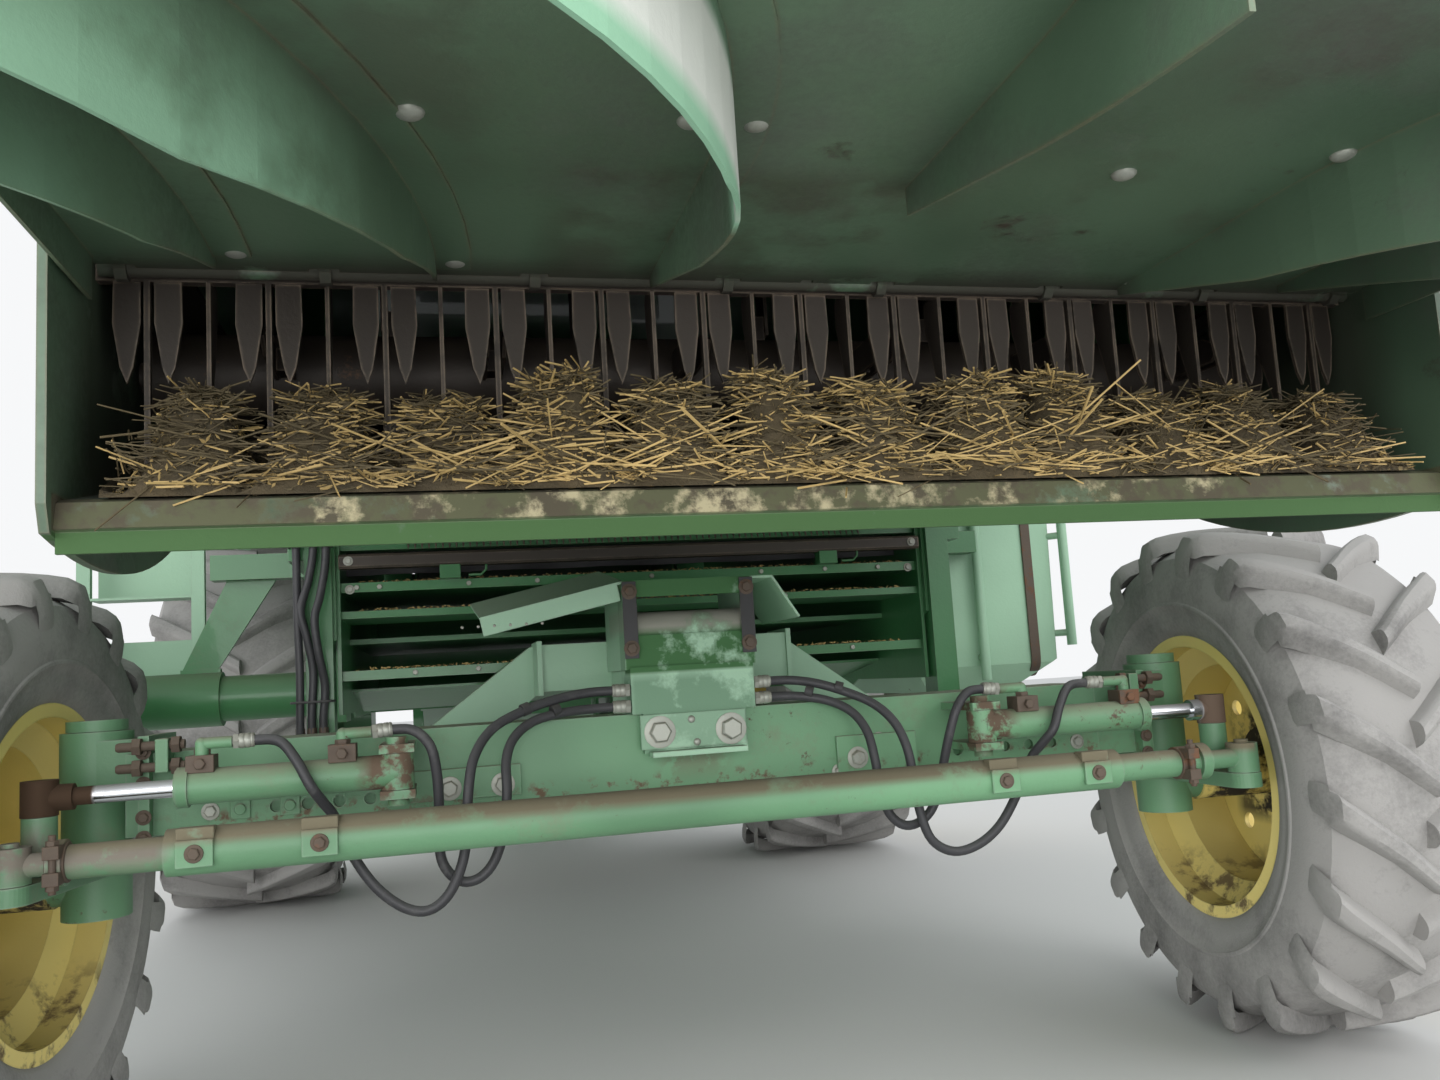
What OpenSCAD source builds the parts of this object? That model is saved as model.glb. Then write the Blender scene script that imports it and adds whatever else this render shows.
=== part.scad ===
// Combine harvester with an adjustable steering axle, straw chopper and spreader board.
// Each piece is drawn from the rear axle: X to the right, Y forward, Z up from the ground.

/* [Machine] */
// Distance between the rear and the front axle
wheelbase = 3750; // [3650:10:3900]
// Rear axle to the end of the spreader board
rear_overhang = 2200; // [2150:10:2400]
// Front axle to the face of the feeder house
front_reach = 2350; // [2300:10:2500]
// Width over the separator's side sheets
body_w = 1720; // [1680:10:1760]
// Height of the separator's roof
body_top_z = 2500; // [2450:10:2600]

/* [Rear wheels] */
// Diameter over the rear lugs
rear_tyre_d = 1350; // [1300:10:1380]
// Width of a rear tyre
rear_tyre_w = 480; // [440:10:500]
// Diameter over the rear rim's flanges
rear_rim_d = 760; // [740:5:780]
// Distance from the centre line to a rear tyre's middle
rear_tyre_x = 1626; // [1610:2:1650]
// Steering angle at which the machine is parked
steer_rest = -6.3; // [-10:0.1:0]

/* [Steering axle] */
// Centre line to a king pin
kingpin_x = 1330; // [1320:2:1345]
// Radius of a king pin
kingpin_r = 40; // [34:1:46]
// Underside of the axle beam
beam_z = 745; // [735:5:755]
// Height of the axle beam
beam_h = 200; // [190:5:210]
// Thickness of the axle beam, front to back
beam_t = 220; // [200:5:230]
// King pin to the tie rod's joint
tie_arm = 400; // [390:2:410]
// King pin to the steering cylinder's joint
cyl_arm = 280; // [270:2:290]
// Radius of the tie rod's main tube
tie_r = 45; // [40:1:50]
// Radius of a steering cylinder's barrel
steer_cyl_r = 36; // [32:1:38]

/* [Front wheels] */
// Diameter over the front lugs
front_tyre_d = 1850; // [1800:10:1900]
// Width of a front tyre
front_tyre_w = 800; // [740:10:820]
// Diameter over the front rim's flanges
front_rim_d = 870; // [850:5:890]
// Distance from the centre line to a front tyre's middle
front_tyre_x = 1510; // [1500:5:1530]

/* [Chopper] */
// Width over the chopper's side plates
chopper_w = 2100; // [2060:10:2120]
// Radius to the tips of the chopper's knives
knife_r = 240; // [230:5:250]
// Number of knife stations along the rotor
knife_rows = 13; // [11:1:14]
// Thickness of the spreader board
board_t = 6; // [5:1:8]

/* [Feeder house] */
// Width of the feeder house
feeder_w = 1400; // [1300:10:1450]
// Height of the feeder house, across its slope
feeder_h = 560; // [520:10:580]
// Slope of the feeder house as parked
feeder_slope = 17.5; // [16:0.5:19]

/* [Unloading auger] */
// Radius of the unloading tube
auger_r = 190; // [160:5:195]
// Length of the swinging tube
auger_len = 4850; // [4500:10:5000]

/* [Hidden] */

$fn = 64;
// Radial play of a pin in its bore, and the gap kept beside an open joint.
fit = 0.05;
play = 1;

// The middle of the machine's length is the origin.
rear_axle_y = rear_overhang - (rear_overhang + wheelbase + front_reach) / 2;

// Heights and places that several pieces share.
rear_r = rear_tyre_d / 2;
front_r = front_tyre_d / 2;
half_body = body_w / 2;
sheet = 8;
beam_top_z = beam_z + beam_h;
body_front = wheelbase - 400;
rear_rim_w = 400;
rear_disc_x = 60;
rear_spindle_r = 34;
front_disc_x = 90;
front_spindle_r = 55;
front_rim_w = 690;

green = [0.13, 0.36, 0.16];
light_green = [0.35, 0.58, 0.42];
yellow = [0.83, 0.68, 0.16];
black = [0.08, 0.08, 0.08];
rubber = [0.13, 0.13, 0.13];
steel = [0.6, 0.6, 0.6];
rust = [0.36, 0.24, 0.16];
glass = [0.5, 0.6, 0.65, 0.4];

// Helpers

module placed() {
    translate([0, rear_axle_y, 0]) children();
}

module block(low, high) {
    translate(low) cube(high - low);
}

// Profile drawn as [y, z] points, pushed out along X from x0 to x1.
module side_slab(points, x0, x1) {
    translate([x0, 0, 0]) rotate([90, 0, 90]) linear_extrude(x1 - x0) polygon(points);
}

// The same for a profile of [x, z] points, pushed out along Y from y0 to y1.
module front_slab(points, y0, y1) {
    translate([0, y1, 0]) rotate([90, 0, 0]) linear_extrude(y1 - y0) polygon(points);
}

// Frustum between two level rectangles: [half width, rear y, front y, z] of each.
module frustum(low, high) {
    intersection() {
        side_slab([[low[1], low[3]], [low[2], low[3]], [high[2], high[3]], [high[1], high[3]]],
            -max(low[0], high[0]) - 1, max(low[0], high[0]) + 1);
        front_slab([[-low[0], low[3]], [low[0], low[3]], [high[0], high[3]], [-high[0], high[3]]],
            min(low[1], high[1]) - 1, max(low[2], high[2]) + 1);
    }
}

module both_sides() {
    children();
    mirror([1, 0, 0]) children();
}

// Solid bar between two points.
module bar(from, to, r) {
    run = to - from;
    length = norm(run);
    translate(from)
        rotate([0, acos(run[2] / length), atan2(run[1], run[0])])
            cylinder(r = r, h = length, $fn = 32);
}

// Bar along X.
module x_bar(x0, x1, y, z, r) {
    translate([x0, y, z]) rotate([0, 90, 0]) cylinder(r = r, h = x1 - x0);
}

// Round bent rail through a list of points.
module rail(points, r) {
    for (i = [0 : len(points) - 2]) bar(points[i], points[i + 1], r);
    for (i = [1 : len(points) - 2]) translate(points[i]) sphere(r = r, $fn = 32);
}

function turned(p, angle) =
    [p[0] * cos(angle) - p[1] * sin(angle), p[0] * sin(angle) + p[1] * cos(angle)];

// Turns a rear corner of the machine about its king pin. side is -1 left, 1 right.
module steered(side) {
    translate([side * kingpin_x, 0, 0]) rotate([0, 0, steer_rest])
        translate([-side * kingpin_x, 0, 0]) children();
}

// Wheels, drawn about the X axis with the outer side towards +X.

module lug(r_out, half_w, lug_w, depth) {
    reach = half_w * 0.34;
    line = [[-0.05, -1], [0.45, 0.1], [1, 1]];
    outline = concat(
        [for (p = line) [-p[0] * half_w, p[1] * reach - lug_w / 2]],
        [for (i = [2 : -1 : 0]) [-line[i][0] * half_w, line[i][1] * reach + lug_w / 2]]
    );
    translate([r_out - depth, 0, 0]) rotate([0, 90, 0]) linear_extrude(depth + 10) polygon(outline);
}

module tyre(d, w, rim_d, rim_w, lugs, lug_w, lug_h) {
    r = d / 2;
    seat = rim_d / 2 - 22;
    bead = rim_w / 2 - 9;
    half = w / 2;
    carcass = r - lug_h;
    profile = [
        [seat, bead], [rim_d / 2 + 1, bead], [rim_d / 2 + 2, bead + 9], [rim_d / 2 + 22, half * 0.88], [seat + (carcass - seat) * 0.45, half],
        [carcass - lug_h * 1.6, half * 0.97], [carcass - lug_h * 0.5, half * 0.80], [carcass, half * 0.4],
        [carcass, -half * 0.4], [carcass - lug_h * 0.5, -half * 0.80], [carcass - lug_h * 1.6, -half * 0.97],
        [seat + (carcass - seat) * 0.45, -half], [rim_d / 2 + 22, -half * 0.88], [rim_d / 2 + 2, -bead - 9],
        [rim_d / 2 + 1, -bead], [seat, -bead]
    ];
    rotate([0, 90, 0]) union() {
        rotate_extrude($fn = 96) polygon(profile);
        intersection() {
            for (i = [0 : lugs - 1]) {
                rotate([0, 0, i * 360 / lugs]) lug(r, half * 0.97, lug_w, lug_h * 2.6);
                rotate([0, 0, (i + 0.5) * 360 / lugs]) mirror([0, 0, 1]) lug(r, half * 0.97, lug_w, lug_h * 2.6);
            }
            cylinder(r = r, h = w, center = true, $fn = 96);
        }
    }
}

// Rim with drop centre and dished disc. The disc's bolt face is disc_x outside the middle.
module rim(d, w, disc_x, hub_r, hub_x, bore, bolt_r, bolts) {
    r = d / 2;
    seat = r - 22;
    half = w / 2;
    t = 9;
    barrel = [
        [r, -half], [r, -half + t], [seat, -half + t], [seat, -half + 70], [seat - 55, -half + 110],
        [seat - 55, half - 130], [seat, half - 80], [seat, half - t], [r, half - t], [r, half],
        [seat - t, half], [seat - t, half - 78], [seat - 55 - t, half - 128], [seat - 55 - t, -half + 108],
        [seat - t, -half + 68], [seat - t, -half]
    ];
    disc = [
        [bore, disc_x], [hub_r + 60, disc_x], [seat - 60, half - 150], [seat - 55, half - 150],
        [seat - 55, half - 162], [seat - 62, half - 162], [hub_r + 56, disc_x - 12], [bore, disc_x - 12]
    ];
    hub = [[bore, hub_x], [hub_r * 0.7, hub_x], [hub_r * 0.7, disc_x - 45], [hub_r + 25, disc_x - 45],
        [hub_r + 25, disc_x - 11], [hub_r * 0.62, disc_x - 11], [hub_r * 0.62, disc_x + 50], [hub_r * 0.5, disc_x + 60],
        [0, disc_x + 60], [0, disc_x - 25], [bore, disc_x - 25]];
    rotate([0, 90, 0]) difference() {
        union() {
            rotate_extrude($fn = 96) polygon(barrel);
            rotate_extrude($fn = 96) polygon(disc);
            rotate_extrude($fn = 64) polygon(hub);
            for (i = [0 : bolts - 1]) rotate([0, 0, (i + 0.5) * 360 / bolts])
                translate([bolt_r, 0, disc_x - 2]) cylinder(r = 17, h = 22, $fn = 6);
        }
        for (i = [0 : 7]) rotate([0, 0, i * 45])
            translate([(hub_r + 60 + seat - 55) / 2, 0, 0]) cylinder(r = 22, h = half + 60);
    }
}

module rear_rim(side) {
    color(yellow) translate([0, 0, rear_r]) steered(side) mirror([side < 0 ? 1 : 0, 0, 0])
        translate([rear_tyre_x, 0, 0])
            rim(rear_rim_d, rear_rim_w, rear_disc_x, 95, kingpin_x + 86 - rear_tyre_x, rear_spindle_r + fit, 125, 8);
}

module rear_tyre(side) {
    color(rubber) translate([0, 0, rear_r]) steered(side) mirror([side < 0 ? 1 : 0, 0, 0])
        translate([rear_tyre_x, 0, 0])
            tyre(rear_tyre_d, rear_tyre_w, rear_rim_d, rear_rim_w, 18, 58, 42);
}

module front_rim(side) {
    color(yellow) translate([side * front_tyre_x, wheelbase, front_r]) mirror([side < 0 ? 1 : 0, 0, 0])
        rim(front_rim_d, front_rim_w, front_disc_x, 130, 1124 - front_tyre_x, front_spindle_r + fit, 175, 10);
}

module front_tyre(side) {
    color(rubber) translate([side * front_tyre_x, wheelbase, front_r]) mirror([side < 0 ? 1 : 0, 0, 0])
        tyre(front_tyre_d, front_tyre_w, front_rim_d, front_rim_w, 20, 72, 52);
}

// Steering axle

housing_z = [840, 985];
arm_z = [682, 717];
boss_top = 830;
barrel_pivot = [680, -255];
barrel_z = 865;
barrel_len = 435;
eye_half = 38;
pivot_pin_r = 22;
steer_rod_r = 18;
elbow_rise = 86;
tie_z = 752;
stud_r = 16;

module axle_beam() {
    half_beam = beam_t / 2;
    color(green) {
        both_sides() {
            // Telescoping end, stop plate and king pin housing.
            block([1079, -half_beam + 14, beam_z + 12], [kingpin_x - 80, half_beam - 14, beam_top_z - 12]);
            block([1195, -half_beam - 22, beam_z - 22], [1217, half_beam + 22, beam_top_z + 26]);
            difference() {
                union() {
                    translate([kingpin_x, 0, housing_z[0]]) cylinder(r = 74, h = housing_z[1] - housing_z[0]);
                    block([kingpin_x - 100, -72, housing_z[0]], [kingpin_x, 72, beam_top_z + 20]);
                }
                translate([kingpin_x, 0, housing_z[0] - 1])
                    cylinder(r = kingpin_r + fit, h = housing_z[1] - housing_z[0] + 2);
            }
        }
        difference() {
            block([-1080, -half_beam, beam_z], [1080, half_beam, beam_top_z]);
            // Track holes in the rear face.
            for (side = [-1, 1], i = [0 : 5]) translate([side * (1010 - i * 66), -half_beam - 1, beam_z + 55])
                rotate([-90, 0, 0]) cylinder(r = 13, h = 14);
        }
        // Ears that hold the steering cylinders.
        both_sides() {
            for (z = [barrel_z - eye_half - play - 18, barrel_z + eye_half + play])
                block([barrel_pivot[0] - 36, barrel_pivot[1] - 36, z], [barrel_pivot[0] + 36, -half_beam + 2, z + 18]);
            translate([barrel_pivot[0], barrel_pivot[1], barrel_z - eye_half - 34])
                cylinder(r = pivot_pin_r, h = 2 * eye_half + 68);
        }
    }
}

// Where a knuckle's arm ends with the wheels steered, r from the king pin; side -1 left, 1 right.
function arm_end(side, r) = [side * kingpin_x, 0] + turned([0, -r], steer_rest);

function rod_run(side) = arm_end(side, cyl_arm) - [side * barrel_pivot[0], barrel_pivot[1]];

// Frame of a steering cylinder: origin on its pivot, X towards the rod's eye.
module cylinder_frame(side) {
    run = rod_run(side);
    translate([side * barrel_pivot[0], barrel_pivot[1], barrel_z]) rotate([0, 0, atan2(run[1], run[0])]) children();
}

module steer_barrel(side) {
    color(green) cylinder_frame(side) difference() {
        union() {
            translate([0, 0, -eye_half]) cylinder(r = 34, h = 2 * eye_half);
            x_bar(0, barrel_len, 0, 0, steer_cyl_r);
            x_bar(barrel_len - 26, barrel_len - 4, 0, 0, steer_cyl_r + 5);
            // Oil ports on top, with elbows that point inboard.
            for (x = [110, barrel_len - 50]) {
                translate([x, 0, 20]) cylinder(r = 13, h = elbow_rise - 20);
                translate([x, 0, elbow_rise]) sphere(r = 13);
                x_bar(x - 58, x, 0, elbow_rise, 12);
            }
        }
        translate([0, 0, -eye_half - 1]) cylinder(r = pivot_pin_r + fit, h = 2 * eye_half + 2);
        x_bar(85, barrel_len + 1, 0, 0, steer_rod_r + 0.5);
    }
}

module steer_rod(side) {
    length = norm(rod_run(side));
    cylinder_frame(side) {
        color(steel) x_bar(length - 400, length - 50, 0, 0, steer_rod_r);
        color(rust) {
            x_bar(length - 62, length - 10, 0, 0, 26);
            translate([length, 0, boss_top + play - barrel_z]) cylinder(r = 34, h = 70);
        }
    }
}

module tie_rod() {
    left = arm_end(-1, tie_arm);
    right = arm_end(1, tie_arm);
    y = left[1];
    color(green) {
        x_bar(left[0] + 270, right[0] - 350, y, tie_z, tie_r);
        x_bar(left[0] + 72, left[0] + 280, y, tie_z, tie_r - 13);
        x_bar(right[0] - 360, right[0] - 120, y, tie_z, tie_r - 13);
    }
    color(rust) {
        for (x = [left[0] + 70, right[0] - 136]) x_bar(x, x + 26, y, tie_z, tie_r - 2);
        x_bar(left[0] + 25, left[0] + 140, y, tie_z, 22);
        x_bar(right[0] - 140, right[0] - 25, y, tie_z, 22);
        for (e = [left, right]) difference() {
            translate([e[0], y, arm_z[1] + play]) cylinder(r = 36, h = tie_z + 34 - arm_z[1]);
            translate([e[0], y, arm_z[1]]) cylinder(r = stud_r + fit, h = 120);
        }
    }
}

module rear_knuckle(side) {
    steered(side) mirror([side < 0 ? 1 : 0, 0, 0]) color(green) {
        // King pin with its cap, forged body, spindle and steering arm.
        translate([kingpin_x, 0, rear_r]) cylinder(r = kingpin_r, h = housing_z[1] - rear_r + 2);
        translate([kingpin_x, 0, housing_z[1] + 1]) cylinder(r = 62, h = 24);
        translate([kingpin_x, 0, rear_r - 90]) cylinder(r = 70, h = housing_z[0] - rear_r + 90 - play);
        translate([kingpin_x, -cyl_arm, arm_z[0] + 1]) cylinder(r = 32, h = boss_top - arm_z[0] - 1);
        translate([kingpin_x, -tie_arm, arm_z[0] + 1]) cylinder(r = stud_r, h = tie_z + 42 - arm_z[0]);
        x_bar(kingpin_x, kingpin_x + 85, 0, rear_r, 62);
        x_bar(kingpin_x, rear_tyre_x + rear_disc_x - 30, 0, rear_r, rear_spindle_r);
        hull() {
            translate([kingpin_x, 0, arm_z[0]]) cylinder(r = 68, h = arm_z[1] - arm_z[0], $fn = 32);
            translate([kingpin_x, -tie_arm, arm_z[0]]) cylinder(r = 38, h = arm_z[1] - arm_z[0], $fn = 32);
        }
    }
}

module axle_pivot() {
    half_beam = beam_t / 2;
    front = half_beam + 60;
    rear = -half_beam - 30;
    yoke_top = beam_top_z + 110;
    shield_z = yoke_top + 207;
    color(light_green) {
        // Yoke over the beam, with the bolted rear plate and its lower lip.
        block([-150, rear, beam_top_z], [150, front, yoke_top]);
        block([-125, rear, beam_z + 108], [125, -half_beam, beam_top_z + 1]);
        block([-134, rear - 10, beam_z + 117], [120, rear + 1, beam_top_z - 3]);
        block([-115, rear - 50, beam_z + 100], [112, rear + 1, beam_z + 112]);
        block([-140, half_beam, beam_z + 40], [140, front, beam_top_z + 1]);
        // Support beam ahead of the axle with its end plates.
        block([-330, front - 1, 1010], [330, front + 160, 1130]);
        both_sides() block([329, front - 10, 1000], [342, front + 170, 1140]);
        // Arms out and down to the frame's cross beam.
        both_sides() {
            front_slab([[330, 1130], [350, 1130], [650, 910], [650, 900], [622, 900], [330, 1112]], front + 130, 420);
            front_slab([[330, 1122], [640, 900], [470, 900], [330, 1005]], front + 130, front + 142);
        }
    }
    // Pivot housing across the yoke, in its green plates.
    color(green) {
        x_bar(-155, 155, rear + 62, yoke_top + 85, 48);
        block([-160, rear + 8, yoke_top - 5], [160, rear + 20, yoke_top + 75]);
        block([-150, rear + 19, yoke_top - 1], [150, front, yoke_top + 45]);
        block([-160, rear + 8, shield_z - 40], [160, rear + 15, shield_z]);
        both_sides() block([148, rear + 8, yoke_top - 5], [160, front, shield_z]);
    }
    // Shield plate over the pivot: a long wing on the left, a short steep one on the right.
    color(light_green) {
        block([-160, rear + 8, shield_z - 6], [216, front + 130, shield_z]);
        translate([-156, rear + 8, shield_z - 3]) rotate([10, -12, 0]) {
            translate([-345, 0, -3]) cube([345, 330, 6]);
            translate([-345, 0, -42]) cube([330, 6, 42]);
        }
        translate([212, rear + 8, shield_z - 5]) rotate([0, 58, 0]) cube([120, 330, 6]);
    }
    color(black) for (x = [-160, 128]) block([x, rear - 2, yoke_top + 22], [x + 32, rear + 9, shield_z - 4]);
}

// Oil hoses of the steering cylinders, from each elbow to the pivot.
hose_paths = [
    [[-1006.2, -266, 951], [-960, -266, 951], [-912, -285, 945], [-878, -308, 905], [-850, -320, 852], [-828, -300, 815],
        [-808, -276, 780], [-775, -268, 700], [-730, -268, 630], [-675, -268, 583], [-625, -270, 572], [-582, -274, 602],
        [-552, -276, 665], [-541, -274, 730], [-535, -268, 810], [-520, -245, 880], [-480, -205, 935], [-415, -172, 968],
        [-340, -150, 990], [-250, -125, 1003], [-150.4, -125, 1003]],
    [[-731.1, -256.6, 951], [-690, -258, 953], [-645, -268, 948], [-612, -282, 915], [-600, -275, 860], [-597, -262, 790],
        [-600, -250, 720], [-592, -244, 660], [-560, -240, 622], [-520, -240, 622], [-485, -240, 655], [-462, -242, 720],
        [-452, -240, 800], [-450, -215, 865], [-430, -185, 912], [-385, -156, 945], [-320, -142, 960], [-240, -124, 965],
        [-150.4, -124, 965]],
    [[1006.2, -267, 951], [960, -267, 951], [905, -285, 945], [862, -310, 902], [835, -320, 850], [812, -300, 815],
        [792, -276, 780], [752, -268, 700], [700, -268, 630], [640, -268, 590], [575, -270, 580], [520, -274, 612],
        [495, -276, 680], [486, -274, 760], [480, -262, 830], [462, -238, 890], [425, -205, 935], [365, -172, 968],
        [300, -150, 992], [235, -125, 1003], [150.4, -125, 1003]],
    [[731.1, -256.8, 951], [690, -258, 953], [645, -268, 948], [608, -282, 915], [588, -276, 860], [575, -262, 800],
        [562, -250, 735], [540, -244, 680], [505, -240, 650], [465, -240, 648], [432, -240, 678], [415, -240, 735],
        [408, -236, 805], [402, -215, 868], [380, -185, 915], [335, -156, 945], [275, -142, 960], [225, -124, 965],
        [150.4, -124, 965]]
];
hose_r = 11;

function lerp3(a, b, t) = a + (b - a) * t;
// Point on a smooth curve through p, at part i and share t.
function spline_point(p, i, t) =
    let (
        a = p[max(i - 1, 0)], b = p[i], c = p[i + 1], d = p[min(i + 2, len(p) - 1)]
    )
    0.5 * (2 * b + (c - a) * t + (2 * a - 5 * b + 4 * c - d) * t * t + (3 * b - a - 3 * c + d) * t * t * t);

function curve(p, steps) = concat(
    [for (i = [0 : len(p) - 2], s = [0 : steps - 1]) spline_point(p, i, s / steps)],
    [p[len(p) - 1]]
);

function unit(v) = v / norm(v);

// Tube with n sides swept along points.
module sweep(points, r, n) {
    rings = [for (i = [0 : len(points) - 1])
        let (
            dir = unit(points[min(i + 1, len(points) - 1)] - points[max(i - 1, 0)]),
            side = unit(cross(dir, abs(dir[1]) > 0.9 ? [1, 0, 0] : [0, 1, 0])),
            up = cross(side, dir)
        )
        for (k = [0 : n - 1]) points[i] + r * (cos(360 * k / n) * side + sin(360 * k / n) * up)];
    last = len(points) - 1;
    polyhedron(
        rings,
        concat(
            [[for (k = [n - 1 : -1 : 0]) k]],
            [for (i = [0 : last - 1], k = [0 : n - 1])
                [i * n + k, i * n + (k + 1) % n, (i + 1) * n + (k + 1) % n, (i + 1) * n + k]],
            [[for (k = [0 : n - 1]) last * n + k]]
        )
    );
}

module axle_hoses() {
    color(black) for (p = hose_paths) sweep(curve(p, 3), hose_r, 8);
}

// Frame, body and cleaning shoe

rail_z = [1395, 1500];
axle_top = 1140;

module chassis_frame() {
    rail_x = half_body;
    y = cross_auger_y;
    color(green) both_sides() {
        // Main rail along the body, rear post and cross beam.
        block([rail_x, 380, rail_z[0]], [rail_x + 110, wheelbase - 120, rail_z[1]]);
        block([rail_x, 380, 880], [rail_x + 70, 470, rail_z[0] + 1]);
        block([rail_x + 109, y - 50, rail_z[0]], [1240, y + 20, rail_z[1] - 30]);
        block([rail_x, 1450, 1050], [rail_x + 60, 1530, rail_z[0] + 1]);
        // Bearings of the feeder house's trunnions.
        difference() {
            block([feeder_w / 2 + 14, feeder_pivot[0] - 90, rail_z[0]], [rail_x + 60, feeder_pivot[0] + 90, feeder_pivot[1] + 90]);
            x_bar(feeder_w / 2, rail_x - 20, feeder_pivot[0], feeder_pivot[1], trunnion_r + fit);
        }
    }
    color(green) {
        block([-rail_x - 70, 380, 880], [rail_x + 70, 470, 900]);
        // Strut that carries the cross auger, and the post on its inner end.
        front_slab([[-1200, rail_z[0] + 1], [-1060, rail_z[0] + 1], [-1225, cross_auger_z + 90], [-1325, cross_auger_z + 90]], y - 8, y + 8);
        difference() {
            block([-rail_x - 70, y - 90, cross_auger_z - 90], [-rail_x, y + 90, rail_z[0] + 1]);
            x_bar(-rail_x - 71, -rail_x + 1, y, cross_auger_z, 60);
        }
    }
}

module front_axle() {
    z = front_r;
    inner = 1085;
    color(green) {
        side_slab([[wheelbase - 120, 950], [wheelbase + 120, 950], [wheelbase + 120, 1095], [wheelbase + 25, axle_top],
            [wheelbase - 120, axle_top]], -inner + 60, inner - 60);
        // Gearbox in the middle of the axle.
        block([-260, wheelbase - 330, 880], [200, wheelbase - 119, axle_top - 20]);
        both_sides() {
            // Final drive with its flange.
            x_bar(inner - 140, inner, wheelbase, z, 210);
            x_bar(inner - 1, inner + 38, wheelbase, z, 120);
            x_bar(inner, front_tyre_x + front_disc_x - 30, wheelbase, z, front_spindle_r);
            // Pedestal up to the main rail.
            block([half_body, wheelbase - 120, axle_top - 1], [half_body + 110, wheelbase + 110, rail_z[1]]);
            // Ears and pin of the lift cylinder.
            for (x = [402, 478]) side_slab([[wheelbase + 60, 951], [lift_low[0] + 50, 800], [lift_low[0] + 50, 700],
                [lift_low[0] - 50, 700], [wheelbase - 60, 951]], x, x + 20);
            x_bar(402, 498, lift_low[0], lift_low[1], lift_pin_r);
        }
    }
}

module separator_body() {
    walls = [[400, 1180], [1100, 960], [body_front - 750, 960], [body_front, 1300], [body_front, body_top_z], [400, body_top_z]];
    color(green) {
        both_sides() side_slab(walls, half_body - sheet, half_body);
        block([-half_body + sheet - 1, 400, body_top_z - sheet], [half_body - sheet + 1, body_front, body_top_z]);
        block([-half_body + sheet - 1, body_front - sheet, 1970], [half_body - sheet + 1, body_front, body_top_z - sheet + 1]);
        // Outriggers that carry the side shields' hinge rods.
        both_sides() for (y = shield_arms) difference() {
            union() {
                block([half_body - sheet, y, shield_hinge[1] - 17], [shield_hinge[0], y + 20, shield_hinge[1] + 17]);
                translate([shield_hinge[0], y, shield_hinge[1]]) rotate([-90, 0, 0]) cylinder(r = 17, h = 20);
            }
            translate([shield_hinge[0], y - 1, shield_hinge[1]]) rotate([-90, 0, 0]) cylinder(r = 12 + fit, h = 22);
        }
        // Floor pan under the shoe and fan housing.
        block([-half_body + sheet - 1, 1900, 962], [half_body - sheet + 1, body_front - 750, 972]);
        x_bar(-half_body + sheet - 1, half_body - sheet + 1, body_front - 600, 1240, 250);
    }
}

module cleaning_shoe() {
    inner = half_body - sheet;
    color(green) {
        both_sides() side_slab([[420, 980], [1900, 980], [1900, 1500], [420, 1500]], inner - 10, inner);
        // Rear lips of the sieves, from the top down: [z, rise, depth].
        for (s = [[1425, 42, 60], [1310, 26, 260], [1238, 20, 300], [1070, 26, 40]])
            block([-inner + 10, 440, s[0]], [inner - 10, 440 + s[2], s[0] + s[1]]);
        block([-inner + 10, 700, 1330], [inner - 10, 1850, 1345]);
        block([-inner + 10, 740, 1180], [inner - 10, 1850, 1195]);
        side_slab([[800, 1040], [1300, 975], [1850, 1040], [1850, 1048], [1300, 983], [800, 1048]], -inner + 10, inner - 10);
    }
}

// Rear end

hood_half = 960;
hood_z = 1700;
module rear_hood() {
    low = 1560;
    top = body_top_z + 120;
    outer = [[400, low], [400, top], [-250, top], [-1120, top - 290], [-1270, top - 570], [-1270, hood_z],
        [-560, hood_z], [-250, low]];
    inner = [[392, low + sheet], [392, top - 8], [-248, top - 8], [-1115, top - 297], [-1262, top - 572], [-1262, hood_z - 1],
        [-568, hood_z - 1], [-568, hood_z + sheet], [-554, hood_z + sheet], [-246, low + sheet]];
    color(green) difference() {
        side_slab(outer, -hood_half, hood_half);
        side_slab(inner, -hood_half + sheet, hood_half - sheet);
        // Way in from the separator.
        block([-half_body + sheet, 380, 1700], [half_body - sheet, 401, body_top_z - sheet]);
    }
}

rotor_y = -865;
rotor_z = 1560;
lip_y = -1300;
board_y = -1150;
board_z = 1640;
hinge_r = 12;
rotor_shaft_r = 24;
lip_z = 1292;
belly_r = 1220;
plate_half = chopper_w / 2;
knife_pitch = (chopper_w - 156) / (knife_rows - 1);
function knife_x(i) = -plate_half + 78 + i * knife_pitch;

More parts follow.
